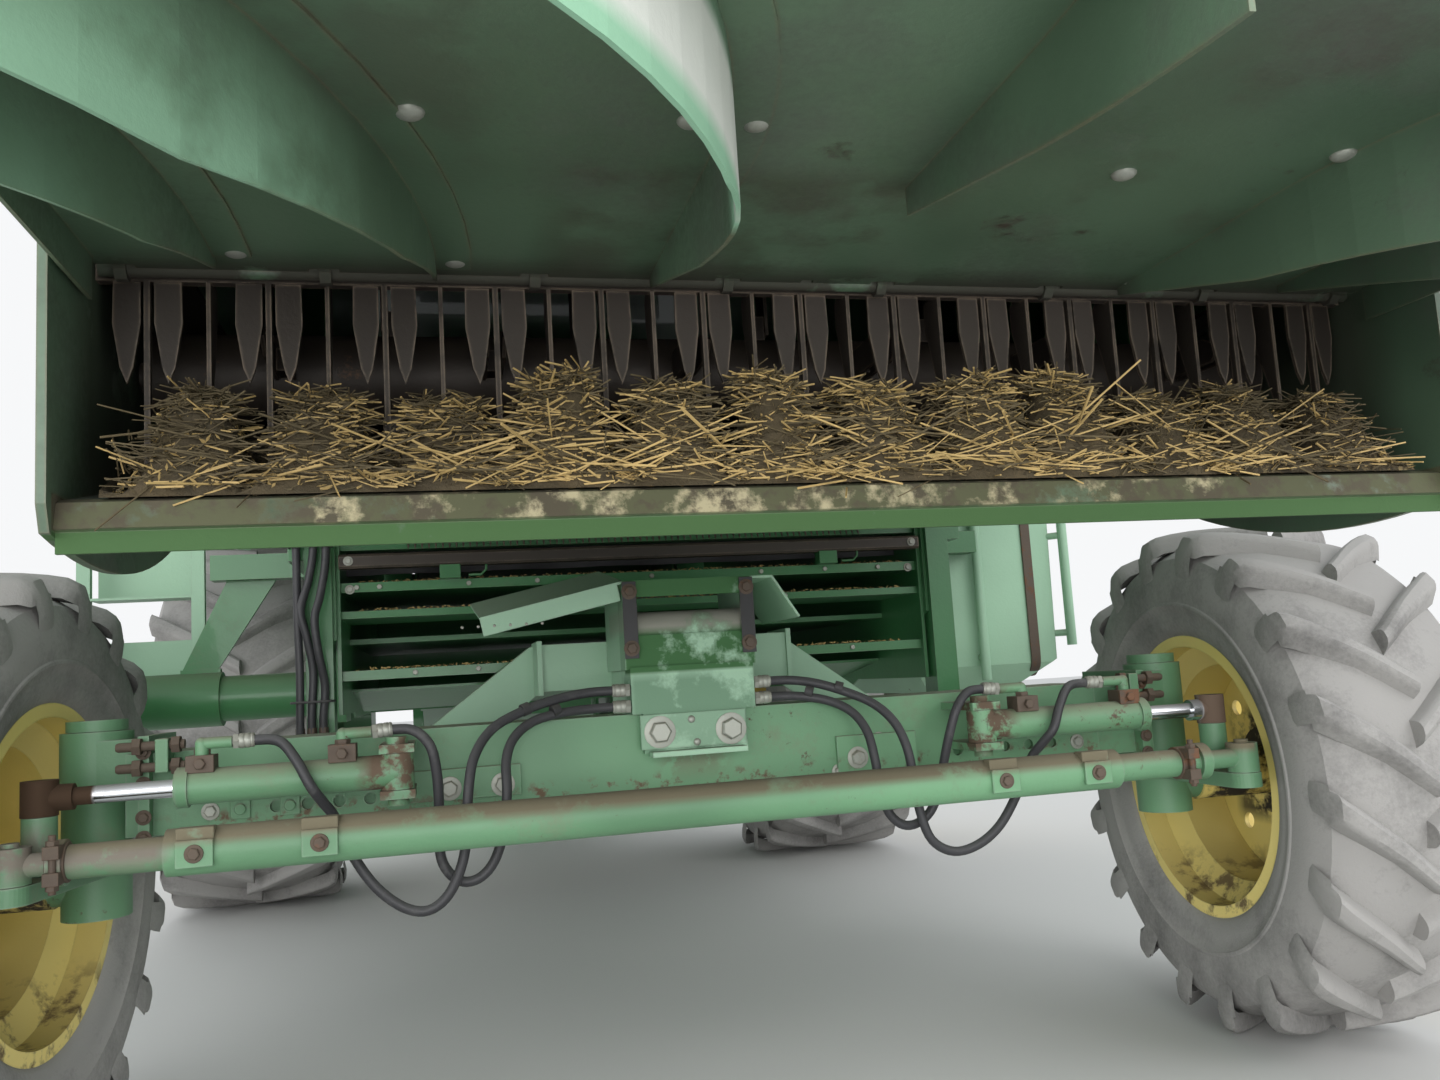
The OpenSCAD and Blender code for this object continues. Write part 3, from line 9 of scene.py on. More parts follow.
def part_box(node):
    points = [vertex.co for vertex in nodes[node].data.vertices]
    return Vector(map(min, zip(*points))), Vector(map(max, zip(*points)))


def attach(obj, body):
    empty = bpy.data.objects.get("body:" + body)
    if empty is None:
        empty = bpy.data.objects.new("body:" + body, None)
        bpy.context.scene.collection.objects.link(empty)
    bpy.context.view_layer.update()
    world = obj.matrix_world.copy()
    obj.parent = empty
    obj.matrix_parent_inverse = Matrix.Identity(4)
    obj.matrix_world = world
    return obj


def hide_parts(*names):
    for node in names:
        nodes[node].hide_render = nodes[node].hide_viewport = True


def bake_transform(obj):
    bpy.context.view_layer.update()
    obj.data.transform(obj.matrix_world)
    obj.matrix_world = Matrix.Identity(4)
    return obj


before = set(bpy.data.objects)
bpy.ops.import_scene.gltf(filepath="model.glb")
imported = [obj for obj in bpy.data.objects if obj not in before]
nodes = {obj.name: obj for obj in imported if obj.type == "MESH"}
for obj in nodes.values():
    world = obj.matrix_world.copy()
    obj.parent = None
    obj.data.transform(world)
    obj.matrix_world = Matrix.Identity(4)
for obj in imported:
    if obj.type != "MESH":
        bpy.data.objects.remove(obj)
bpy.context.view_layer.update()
scene = bpy.context.scene
scene.view_settings.view_transform = "Standard"
print("frame loaded with", len(nodes), "nodes")

rearAxle = -1.95  # y of the rear axle; the middle of the machine's length is 0
frontAxle = 1.80

# Camera: at knee height, behind the left half of the spreader board.
camera = {"place": (-0.585, -4.797, 1.027), "yaw": 13.943, "pitch": 6.64, "roll": -3.53, "focal": 28.78}
yaw, pitch, roll = (math.radians(camera[key]) for key in ("yaw", "pitch", "roll"))
ahead = Vector((math.sin(yaw) * math.cos(pitch), math.cos(yaw) * math.cos(pitch), math.sin(pitch)))
level = Vector((math.cos(yaw), -math.sin(yaw), 0))
upright = level.cross(ahead)
lens = bpy.data.cameras.new("kneelingView")
lens.lens = camera["focal"]
lens.sensor_width = 36
lens.clip_start = 0.02
lens.clip_end = 200
eye = bpy.data.objects.new("kneelingView", lens)
scene.collection.objects.link(eye)
tilted = Matrix(
    (
        level * math.cos(roll) + upright * math.sin(roll),
        upright * math.cos(roll) - level * math.sin(roll), -ahead
    )
)
eye.matrix_world = Matrix.Translation(camera["place"]) @ tilted.transposed().to_4x4()
scene.camera = eye


# Shader groups that several finishes share.
def newGroup(name, inputs, outputs):
    group = bpy.data.node_groups.new(name, "ShaderNodeTree")
    for label, kind, value in inputs:
        socket = group.interface.new_socket(label, in_out="INPUT", socket_type=kind)
        socket.default_value = value
    for label, kind in outputs:
        group.interface.new_socket(label, in_out="OUTPUT", socket_type=kind)
    return group, group.nodes.new("NodeGroupInput"), group.nodes.new("NodeGroupOutput")


def addNode(tree, kind, links=(), **values):
    node = tree.nodes.new(kind)
    for key, value in values.items():
        setattr(node, key, value)
    for socket, source in dict(links).items():
        if hasattr(source, "is_output"):
            tree.links.new(source, node.inputs[socket])
        else:
            node.inputs[socket].default_value = source
    return node


def ramp(tree, value, low, high):
    node = addNode(tree, "ShaderNodeMapRange", {"Value": value, "From Min": low, "From Max": high})
    node.clamp = True
    return node.outputs["Result"]


def sums(tree, operation, *values):
    return addNode(tree, "ShaderNodeMath", dict(enumerate(values)), operation=operation).outputs[0]


def mixColors(tree, factor, first, second, blend="MIX"):
    node = addNode(
        tree, "ShaderNodeMix", {"Factor": factor, 6: first, 7: second}, data_type="RGBA", blend_type=blend
    )
    return node.outputs[2]


def makeDust():
    group, given, out = newGroup(
        "settledDust",
        [
            ("Amount", "NodeSocketFloat", 0.4), ("Scale", "NodeSocketFloat", 3.0),
            ("On Top", "NodeSocketFloat", 0.5)
        ],
        [("Mask", "NodeSocketFloat"), ("Grain", "NodeSocketFloat")],
    )
    place = addNode(group, "ShaderNodeTexCoord").outputs["Object"]
    cloud = addNode(
        group, "ShaderNodeTexNoise",
        {"Vector": place, "Scale": given.outputs["Scale"], "Detail": 7.0, "Roughness": 0.64}
    )
    grain = addNode(
        group, "ShaderNodeTexNoise", {"Vector": place, "Scale": 90.0, "Detail": 3.0, "Roughness": 0.7}
    )
    normal = addNode(group, "ShaderNodeNewGeometry").outputs["Normal"]
    upward = addNode(group, "ShaderNodeSeparateXYZ", {0: normal}).outputs[2]
    settled = sums(group, "MULTIPLY", ramp(group, upward, 0.1, 0.9), given.outputs["On Top"])
    start = sums(group, "SUBTRACT", 0.78, sums(group, "MULTIPLY", given.outputs["Amount"], 0.55))
    mixed = sums(
        group, "ADD", sums(group, "MULTIPLY", cloud.outputs[0], 0.8),
        sums(group, "MULTIPLY", grain.outputs[0], 0.2)
    )
    patches = addNode(
        group, "ShaderNodeMapRange",
        {"Value": mixed, "From Min": start, "From Max": sums(group, "ADD", start, 0.3)}
    )
    mask = sums(group, "MINIMUM", sums(group, "ADD", patches.outputs[0], settled), 1.0)
    group.links.new(mask, out.inputs["Mask"])
    group.links.new(grain.outputs[0], out.inputs["Grain"])
    return group


def makeChips():
    group, given, out = newGroup(
        "chippedPaint",
        [
            ("Amount", "NodeSocketFloat", 0.3), ("Scale", "NodeSocketFloat", 14.0),
            ("Edge Width", "NodeSocketFloat", 0.006), ("Edges", "NodeSocketFloat", 0.5)
        ],
        [("Mask", "NodeSocketFloat"), ("Edge", "NodeSocketFloat")],
    )
    place = addNode(group, "ShaderNodeTexCoord").outputs["Object"]
    speck = addNode(
        group, "ShaderNodeTexNoise",
        {"Vector": place, "Scale": given.outputs["Scale"], "Detail": 9.0, "Roughness": 0.72}
    )
    zone = addNode(group, "ShaderNodeTexNoise", {"Vector": place, "Scale": 1.7, "Detail": 2.0})
    both = sums(
        group, "ADD", sums(group, "MULTIPLY", speck.outputs[0], 0.65),
        sums(group, "MULTIPLY", zone.outputs[0], 0.35)
    )
    start = sums(group, "SUBTRACT", 0.72, sums(group, "MULTIPLY", given.outputs["Amount"], 0.3))
    chips = addNode(
        group, "ShaderNodeMapRange",
        {"Value": both, "From Min": start, "From Max": sums(group, "ADD", start, 0.05)}
    )
    rounded = addNode(group, "ShaderNodeBevel", {"Radius": given.outputs["Edge Width"]}, samples=4)
    normal = addNode(group, "ShaderNodeNewGeometry").outputs["Normal"]
    facing = addNode(
        group, "ShaderNodeVectorMath", {0: rounded.outputs[0], 1: normal}, operation="DOT_PRODUCT"
    )
    edge = ramp(group, sums(group, "SUBTRACT", 1.0, facing.outputs["Value"]), 0.01, 0.12)
    # Band along rounded edges. It carries rust chips and the finishes' lighter edge colour, which is partly
    # rubbed paint and partly a painted highlight.
    worn = sums(
        group, "MULTIPLY", sums(group, "MULTIPLY", edge, given.outputs["Edges"]),
        ramp(group, speck.outputs[0], 0.38, 0.6)
    )
    group.links.new(
        sums(
            group, "MINIMUM", sums(group, "ADD", chips.outputs[0], sums(group, "MULTIPLY", worn, 0.6)), 1.0
        ),
        out.inputs["Mask"]
    )
    group.links.new(worn, out.inputs["Edge"])
    return group


settledDust = makeDust()
chippedPaint = makeChips()


def finish(
    name, color, rough=0.45, metal=0.0, dust=0.35, dustColor=(0.17, 0.13, 0.085), dustScale=3.0, onTop=0.5,
    chips=0.3, chipColor=(0.075, 0.04, 0.022), chipScale=14.0, edges=0.5, edgeWearAndHighlight=None, vary=0.35,
    bump=0.15, coat=0.0
):
    material = bpy.data.materials.new(name)
    material.use_nodes = True
    tree = material.node_tree
    shader = tree.nodes["Principled BSDF"]
    dusty = addNode(tree, "ShaderNodeGroup", node_tree=settledDust)
    for socket, value in (("Amount", dust), ("Scale", dustScale), ("On Top", onTop)):
        dusty.inputs[socket].default_value = value
    chipped = addNode(tree, "ShaderNodeGroup", node_tree=chippedPaint)
    for socket, value in (("Amount", chips), ("Scale", chipScale), ("Edges", edges)):
        chipped.inputs[socket].default_value = value
    place = addNode(tree, "ShaderNodeTexCoord").outputs["Object"]
    fade = addNode(tree, "ShaderNodeTexNoise", {"Vector": place, "Scale": 1.1, "Detail": 3.0})
    paler = [min(1, part * (1 + vary) + 0.03 * vary) for part in color] + [1]
    darker = [part * (1 - vary * 0.6) for part in color] + [1]
    base = mixColors(tree, ramp(tree, fade.outputs[0], 0.3, 0.7), darker, paler)
    # Lighter colour along rounded edges: partly rubbed paint, partly a painted highlight on the edges.
    if edgeWearAndHighlight:
        base = mixColors(tree, chipped.outputs["Edge"], base, list(edgeWearAndHighlight) + [1])
    base = mixColors(tree, chipped.outputs["Mask"], base, list(chipColor) + [1])
    base = mixColors(tree, dusty.outputs["Mask"], base, list(dustColor) + [1])
    tree.links.new(base, shader.inputs["Base Color"])
    tree.links.new(
        sums(tree, "ADD", rough, sums(tree, "MULTIPLY", dusty.outputs["Mask"], 0.9 - rough)),
        shader.inputs["Roughness"]
    )
    shader.inputs["Metallic"].default_value = metal
    shader.inputs["Coat Weight"].default_value = coat
    relief = addNode(
        tree, "ShaderNodeBump",
        {
            "Strength": bump, "Distance": 0.004,
            "Height": sums(tree, "ADD", dusty.outputs["Grain"], chipped.outputs["Mask"])
        }
    )
    tree.links.new(relief.outputs[0], shader.inputs["Normal"])
    return material


greens = {"fresh": (0.032, 0.150, 0.048), "faded": (0.095, 0.215, 0.110), "mint": (0.32, 0.48, 0.36)}
finishes = {
    "machineGreen": finish(
        "machineGreen", greens["fresh"], rough=0.4, dust=0.34, dustColor=(0.13, 0.125, 0.09), chips=0.22,
        coat=0.15, edgeWearAndHighlight=(0.1, 0.26, 0.12)
    ),
    "axleGreen": finish(
        "axleGreen", greens["faded"], rough=0.5, dust=0.38, dustColor=(0.20, 0.185, 0.13), dustScale=4.5,
        onTop=0.75, chips=0.40, chipScale=30, edges=0.9, vary=0.55, edgeWearAndHighlight=greens["mint"]
    ),
    "mintGreen": finish(
        "mintGreen", (0.27, 0.44, 0.30), rough=0.5, dust=0.3, dustColor=(0.27, 0.27, 0.2), chips=0.24,
        chipScale=22, edges=0.6, edgeWearAndHighlight=(0.36, 0.5, 0.38)
    ),
    "boardGreen": finish(
        "boardGreen", (0.072, 0.125, 0.075), rough=0.38, dust=0.5, dustColor=(0.085, 0.088, 0.075),
        dustScale=2.4, chips=0.40, chipScale=4, chipColor=(0.045, 0.036, 0.026), edges=1.0,
        edgeWearAndHighlight=(0.27, 0.24, 0.14), vary=0.7, bump=0.1
    ),
    "knifeSteel": finish(
        "knifeSteel", (0.040, 0.031, 0.024), rough=0.55, metal=0.3, dust=0.3,
        dustColor=(0.065, 0.048, 0.032), chips=0.3, chipColor=(0.14, 0.075, 0.04), edges=1.0,
        edgeWearAndHighlight=(0.36, 0.31, 0.24)
    ),
    "rimYellow": finish(
        "rimYellow", (0.84, 0.68, 0.22), rough=0.42, dust=0.26, dustColor=(0.24, 0.18, 0.09), chips=0.16,
        edges=0.5, vary=0.12
    ),
    "tyreRubber": finish(
        "tyreRubber", (0.085, 0.082, 0.080), rough=0.85, dust=1.0, dustColor=(0.33, 0.32, 0.305),
        dustScale=3.2, onTop=0.25, chips=0.22, chipColor=(0.05, 0.048, 0.045), edges=0.5,
        edgeWearAndHighlight=(0.22, 0.215, 0.205), bump=0.35
    ),
    "castIron": finish(
        "castIron", (0.085, 0.062, 0.045), rough=0.7, metal=0.25, dust=0.5, dustColor=(0.15, 0.12, 0.085),
        chips=0.6, chipColor=(0.15, 0.07, 0.035)
    ),
    "blackPlastic": finish(
        "blackPlastic", (0.02, 0.02, 0.021), rough=0.55, dust=0.3, dustColor=(0.12, 0.115, 0.1), chips=0.0,
        edges=0.2
    ),
    "hoseRubber": finish(
        "hoseRubber", (0.022, 0.022, 0.025), rough=0.5, dust=0.42, dustColor=(0.12, 0.12, 0.115),
        dustScale=12, chips=0.0, edges=0.0
    ),
    "zincSteel": finish(
        "zincSteel", (0.31, 0.32, 0.28), rough=0.5, metal=0.45, dust=0.4, dustColor=(0.24, 0.22, 0.16),
        dustScale=20, chips=0.3, chipColor=(0.15, 0.085, 0.045), chipScale=40
    ),
    "polishedRod": finish(
        "polishedRod", (0.66, 0.68, 0.71), rough=0.16, metal=1.0, dust=0.08, chips=0.0, edges=0.0, bump=0.02
    ),
    "engineGrey": finish("engineGrey", (0.09, 0.09, 0.085), rough=0.6, metal=0.2, dust=0.5, chips=0.2),
    "exhaustSteel": finish("exhaustSteel", (0.12, 0.085, 0.065), rough=0.7, metal=0.5, dust=0.3, chips=0.5),
    # Chaff: dark brown. All its colours, the base and the darker layer alike, are darkened further as
    # painted shade for the shadow where the bed meets the lip.
    "chaff": finish(
        "chaff", (0.078, 0.056, 0.026), rough=0.95, dust=0.75, dustColor=(0.045, 0.036, 0.02), dustScale=16,
        onTop=0.0, chips=0.55, chipColor=(0.22, 0.16, 0.07), chipScale=60, edges=0.0, vary=0.5, bump=0.9
    ),
    # Dark copy of the straw for stems and flakes: partly dark chaff, partly painted shade that stands in for
    # the depth between the stems.
    "strawDark": finish(
        "strawDark", (0.10, 0.074, 0.032), rough=0.8, dust=0.6, dustColor=(0.05, 0.038, 0.018),
        dustScale=30, onTop=0.0, chips=0.3, chipColor=(0.26, 0.19, 0.08), chipScale=25, edges=0.0, vary=0.6,
        bump=0.2
    ),
    "strawGold": finish(
        "strawGold", (0.46, 0.32, 0.12), rough=0.7, dust=0.5, dustColor=(0.11, 0.075, 0.03), dustScale=30,
        onTop=0.0, chips=0.3, chipColor=(0.55, 0.42, 0.2), chipScale=25, edges=0.0, vary=0.5, bump=0.2
    ),
}


def plainGlass(name, tint, rough=0.03, clear=1.0):
    material = bpy.data.materials.new(name)
    material.use_nodes = True
    shader = material.node_tree.nodes["Principled BSDF"]
    for socket, value in (
        ("Base Color", tint + (1,)), ("Roughness", rough), ("Transmission Weight", clear), ("IOR", 1.45)
    ):
        shader.inputs[socket].default_value = value
    return material


finishes["tintedGlass"] = plainGlass("tintedGlass", (0.62, 0.75, 0.70))
finishes["lampClear"] = plainGlass("lampClear", (0.95, 0.95, 0.93), 0.12)
finishes["lampRed"] = plainGlass("lampRed", (0.66, 0.02, 0.015), 0.18, 0.25)
finishes["lampAmber"] = plainGlass("lampAmber", (0.95, 0.34, 0.02), 0.18, 0.25)

nodeFinish = {
    "machineGreen": "separator_body rear_hood grain_tank engine_hood cab_platform chassis_frame front_axle "
    "grain_elevator cross_auger auger_turret unloading_auger cab_door side_shield_left side_shield_right "
    "feeder_house lift_barrel_left lift_barrel_right cleaning_shoe cab_shell",
    "axleGreen": "axle_beam rear_knuckle_left rear_knuckle_right tie_rod steer_barrel_left "
    "steer_barrel_right",
    "mintGreen": "axle_pivot fuel_tank service_ladder front_ladder",
    "boardGreen": "tailboard chopper_housing",
    "knifeSteel": "chopper_rotor counter_knives feeder_drum",
    "rimYellow": "rear_rim_left rear_rim_right front_rim_left front_rim_right",
    "tyreRubber": "rear_tyre_left rear_tyre_right front_tyre_left front_tyre_right",
    "hoseRubber": "axle_hoses",
    "blackPlastic": "operator_seat steering_column lamps_and_mirrors auger_spout rotary_screen cooling_pack",
    "polishedRod": "steer_rod_left steer_rod_right lift_rod_left lift_rod_right",
    "engineGrey": "engine_block",
    "exhaustSteel": "exhaust_stack",
    "tintedGlass": "cab_glass door_glass",
}
for key, names in nodeFinish.items():
    for name in names.split():
        mesh = nodes[name].data
        mesh.materials.clear()
        mesh.materials.append(finishes[key])
print("finishes made and given to the frame's nodes")


# Mesh helpers. Every piece is drawn in the row frame, with y from the rear axle.
def back(point):
    return Vector((point[0], point[1] + rearAxle, point[2]))


def backAll(points):
    return [back(point) for point in points]


def turnTo(direction):
    return Vector(direction).normalized().to_track_quat("Z", "Y").to_matrix()


def addLoft(bm, rings, caps=True):
    made = [[bm.verts.new(point) for point in ring] for ring in rings]
    count = len(made[0])
    for low, high in zip(made, made[1:]):
        for i in range(count):
            j = (i + 1) % count
            bm.faces.new((low[i], low[j], high[j], high[i]))
    if caps:
        bm.faces.new(made[0][::-1])
        bm.faces.new(made[-1])


def addStub(bm, start, direction, steps, sides=12, turn=0.0):
    frameOf = turnTo(direction)
    start = Vector(start)
    rings = []
    for height, radius in steps:
        ring = []
        for i in range(sides):
            angle = turn + 2 * math.pi * i / sides
            ring.append(
                start + frameOf @ Vector((radius * math.cos(angle), radius * math.sin(angle), height))
            )
        rings.append(ring)
    addLoft(bm, rings)


def addBolt(bm, place, direction, size=0.012, head=0.009, washer=True):
    if washer:
        addStub(
            bm, place, direction, [(-0.001, size * 1.45), (0.0025, size * 1.45), (0.003, size * 1.36)], 20
        )
    addStub(bm, place, direction, [(0, size), (head * 0.8, size), (head, size * 0.84)], 6, random.random())


def addNut(bm, place, direction, size=0.012, stud=0.012):
    addStub(bm, place, direction, [(-0.001, size * 1.7), (0.0025, size * 1.7)], 20)
    addStub(
        bm, place, direction, [(0, size), (size * 0.75, size), (size * 0.85, size * 0.85)], 6,
        random.random()
    )
    addStub(
        bm, place, direction, [(0, size * 0.55), (stud + 0.008, size * 0.55), (stud + 0.01, size * 0.45)],
        10
    )


def addBox(bm, low, high):
    corners = [
        Vector((x, y, z))
        for z in (low[2], high[2])
        for y in (low[1], high[1])
        for x in (low[0], high[0])
    ]
    made = [bm.verts.new(corner) for corner in corners]
    for face in ((0, 2, 3, 1), (4, 5, 7, 6), (0, 1, 5, 4), (2, 6, 7, 3), (0, 4, 6, 2), (1, 3, 7, 5)):
        bm.faces.new([made[i] for i in face])


# The same box with its corners given from the rear axle.
def addBlock(bm, low, high):
    addBox(bm, back(low), back(high))


# One block of a pair, with x given for the right side.
def addSideBlock(bm, side, low, high):
    near, far = sorted((side * low[0], side * high[0]))
    addBlock(bm, (near, low[1], low[2]), (far, high[1], high[2]))


# The four bars of a rectangular outline, as corners in two directions.
def outlineBars(low, high, wide, tall):
    return (
        (low, (high[0], low[1] + tall)), ((low[0], high[1] - tall), high),
        ((low[0], low[1] + tall), (low[0] + wide, high[1] - tall)),
        ((high[0] - wide, low[1] + tall), (high[0], high[1] - tall))
    )


def addTube(bm, points, radius, sides=10, caps=True):
    points = [Vector(point) for point in points]
    rings = []
    side = None
    for i, point in enumerate(points):
        along = (points[min(i + 1, len(points) - 1)] - points[max(i - 1, 0)]).normalized()
        if side is None:
            side = along.orthogonal().normalized()
        side = (side - along * side.dot(along)).normalized()
        other = along.cross(side)
        rings.append(
            [
                point + radius * (
                    side * math.cos(2 * math.pi * k / sides) + other * math.sin(2 * math.pi * k / sides)
                )
                for k in range(sides)
            ]
        )
    addLoft(bm, rings, caps=caps)


def smoothPath(points, steps=4):
    points = [Vector(point) for point in points]
    path = []
    for i in range(len(points) - 1):
        a, b, c, d = points[max(i - 1, 0)], points[i], points[i + 1], points[min(i + 2, len(points) - 1)]
        bend, twist = 2 * a - 5 * b + 4 * c - d, 3 * b - a - 3 * c + d
        for s in range(steps):
            t = s / steps
            path.append(0.5 * (2 * b + (c - a) * t + bend * t * t + twist * t**3))
    return path + [points[-1]]


def makePiece(name, bm, finishName, body, bevel=0.0, sharp=35, smooth=True):
    bmesh.ops.recalc_face_normals(bm, faces=bm.faces)
    mesh = bpy.data.meshes.new(name)
    bm.to_mesh(mesh)
    bm.free()
    if smooth:
        mesh.shade_smooth()
        mesh.set_sharp_from_angle(angle=math.radians(sharp))
    mesh.materials.append(finishes[finishName])
    piece = bpy.data.objects.new(name, mesh)
    scene.collection.objects.link(piece)
    if bevel:
        rounding = piece.modifiers.new("roundedEdges", "BEVEL")
        rounding.width = bevel
        rounding.segments = 2
        rounding.limit_method = "ANGLE"
    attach(piece, body)
    return piece


steerRest = math.radians(-6.3)


def wheelPlace(side, rear):
    if not rear:
        return Matrix.Translation((side * 1.51, frontAxle, 0.925)) @ Matrix.Diagonal((side, 1, 1, 1))
    pin = Matrix.Translation((side * 1.33, rearAxle, 0.675)) @ Matrix.Rotation(steerRest, 4, "Z")
    return pin @ Matrix.Translation((side * 0.296, 0, 0)) @ Matrix.Diagonal((side, 1, 1, 1))


# Steering hoses: each leaves an elbow on a cylinder, hangs in a loop under the tie rod
# and ends in the axle's yoke.
hoseLook = {"radius": 0.011, "sides": 12, "steps": 5, "collar": 0.0155, "hex": 0.0165}
hoses = {
    "outerLeft": {
        "body": "steer_cylinder_left",
        "points": [
            (-1.0062, -0.266, 0.951), (-0.96, -0.266, 0.951), (-0.912, -0.285, 0.945),
            (-0.878, -0.308, 0.905), (-0.85, -0.32, 0.852), (-0.828, -0.3, 0.815), (-0.808, -0.276, 0.78),
            (-0.775, -0.268, 0.7), (-0.73, -0.268, 0.63), (-0.675, -0.268, 0.583), (-0.625, -0.27, 0.572),
            (-0.582, -0.274, 0.602), (-0.552, -0.276, 0.665), (-0.541, -0.274, 0.73),
            (-0.535, -0.268, 0.81), (-0.52, -0.245, 0.88), (-0.48, -0.205, 0.935), (-0.415, -0.172, 0.968),
            (-0.34, -0.15, 0.99), (-0.25, -0.125, 1.003), (-0.1504, -0.125, 1.003)
        ]
    },
    "innerLeft": {
        "body": "steer_cylinder_left",
        "points": [
            (-0.7311, -0.2566, 0.951), (-0.69, -0.258, 0.953), (-0.645, -0.268, 0.948),
            (-0.612, -0.282, 0.915), (-0.6, -0.275, 0.86), (-0.597, -0.262, 0.79), (-0.6, -0.25, 0.72),
            (-0.592, -0.244, 0.66), (-0.56, -0.24, 0.622), (-0.52, -0.24, 0.622), (-0.485, -0.24, 0.655),
            (-0.462, -0.242, 0.72), (-0.452, -0.24, 0.8), (-0.45, -0.215, 0.865), (-0.43, -0.185, 0.912),
            (-0.385, -0.156, 0.945), (-0.32, -0.142, 0.96), (-0.24, -0.124, 0.965), (-0.1504, -0.124, 0.965)
        ]
    },
    "outerRight": {
        "body": "steer_cylinder_right",
        "points": [
            (1.0062, -0.267, 0.951), (0.96, -0.267, 0.951), (0.905, -0.285, 0.945), (0.862, -0.31, 0.902),
            (0.835, -0.32, 0.85), (0.812, -0.3, 0.815), (0.792, -0.276, 0.78), (0.752, -0.268, 0.7),
            (0.7, -0.268, 0.63), (0.64, -0.268, 0.59), (0.575, -0.27, 0.58), (0.52, -0.274, 0.612),
            (0.495, -0.276, 0.68), (0.486, -0.274, 0.76), (0.48, -0.262, 0.83), (0.462, -0.238, 0.89),
            (0.425, -0.205, 0.935), (0.365, -0.172, 0.968), (0.3, -0.15, 0.992), (0.235, -0.125, 1.003),
            (0.1504, -0.125, 1.003)
        ]
    },
    "innerRight": {
        "body": "steer_cylinder_right",
        "points": [
            (0.7311, -0.2568, 0.951), (0.69, -0.258, 0.953), (0.645, -0.268, 0.948), (0.608, -0.282, 0.915),
            (0.588, -0.276, 0.86), (0.575, -0.262, 0.8), (0.562, -0.25, 0.735), (0.54, -0.244, 0.68),
            (0.505, -0.24, 0.65), (0.465, -0.24, 0.648), (0.432, -0.24, 0.678), (0.415, -0.24, 0.735),
            (0.408, -0.236, 0.805), (0.402, -0.215, 0.868), (0.38, -0.185, 0.915), (0.335, -0.156, 0.945),
            (0.275, -0.142, 0.96), (0.225, -0.124, 0.965), (0.1504, -0.124, 0.965)
        ]
    },
}


def makeHose(name, hose):
    path = backAll(smoothPath(hose["points"], hoseLook["steps"]))
    bm = bmesh.new()
    addTube(bm, path, hoseLook["radius"], hoseLook["sides"])
    bmesh.ops.recalc_face_normals(bm, faces=bm.faces)
    mesh = bpy.data.meshes.new(name)
    bm.to_mesh(mesh)
    bm.free()
    mesh.shade_smooth()
    mesh.materials.append(finishes["hoseRubber"])
    piece = bpy.data.objects.new(name, mesh)
    scene.collection.objects.link(piece)
    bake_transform(piece)
    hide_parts("axle_hoses")
    for place, ahead, body, word in (
        (path[0], path[2] - path[0], hose["body"], "Elbow"),
        (path[-1], path[-3] - path[-1], "machine", "Yoke")
    ):
        bm = bmesh.new()
        hexSize, collar = hoseLook["hex"], hoseLook["collar"]
        addStub(
            bm, place, ahead,
            [(0.001, hexSize * 0.9), (0.002, hexSize), (0.012, hexSize), (0.013, hexSize * 0.9)], 6
        )
        addStub(
            bm, place, ahead,
            [
                (0.012, collar * 0.92), (0.015, collar), (0.022, collar), (0.024, collar * 0.93),
                (0.027, collar), (0.034, collar), (0.036, collar * 0.93), (0.039, collar),
                (0.043, collar * 0.86)
            ],
            16
        )
        makePiece(name + word + "Collar", bm, "zincSteel", body)


random.seed(7)
for name, hose in hoses.items():
    makeHose(name + "Hose", hose)

# Fittings of the rear axle. Places are (x, z) on its rear faces.
axleTrim = {
    "face": -0.110,
    "bigBolts": [(-0.573, 0.808), (-0.454, 0.808), (0.407, 0.803)],
    "smallBolts": [(-1.078, 0.800), (1.016, 0.797), (0.47, 0.842), (0.545, 0.806), (0.36, 0.772)],
    "squarePlates": [(-1.017, 0.800), (-0.915, 0.800)],
    "yokeBolts": [(-0.089, 0.901, 0.026), (0.083, 0.898, 0.026)],
    "yokeDomes": [(-0.012, 0.926), (-0.001, 0.872)],
    "strapBolts": [(-0.144, 1.235), (-0.144, 1.100), (0.144, 1.235), (0.144, 1.100)],
    "yokeFace": -0.150,
    "lockNut": [(0, 0.017), (0.001, 0.019), (0.017, 0.019), (0.018, 0.017)],
}


def addDome(bm, place, direction, size, height):
    steps = [(height * math.sin(t * math.pi / 10), size * math.cos(t * math.pi / 10)) for t in range(5)]
    addStub(bm, place, direction, [(-0.001, size)] + steps + [(height, size * 0.04)], 16)


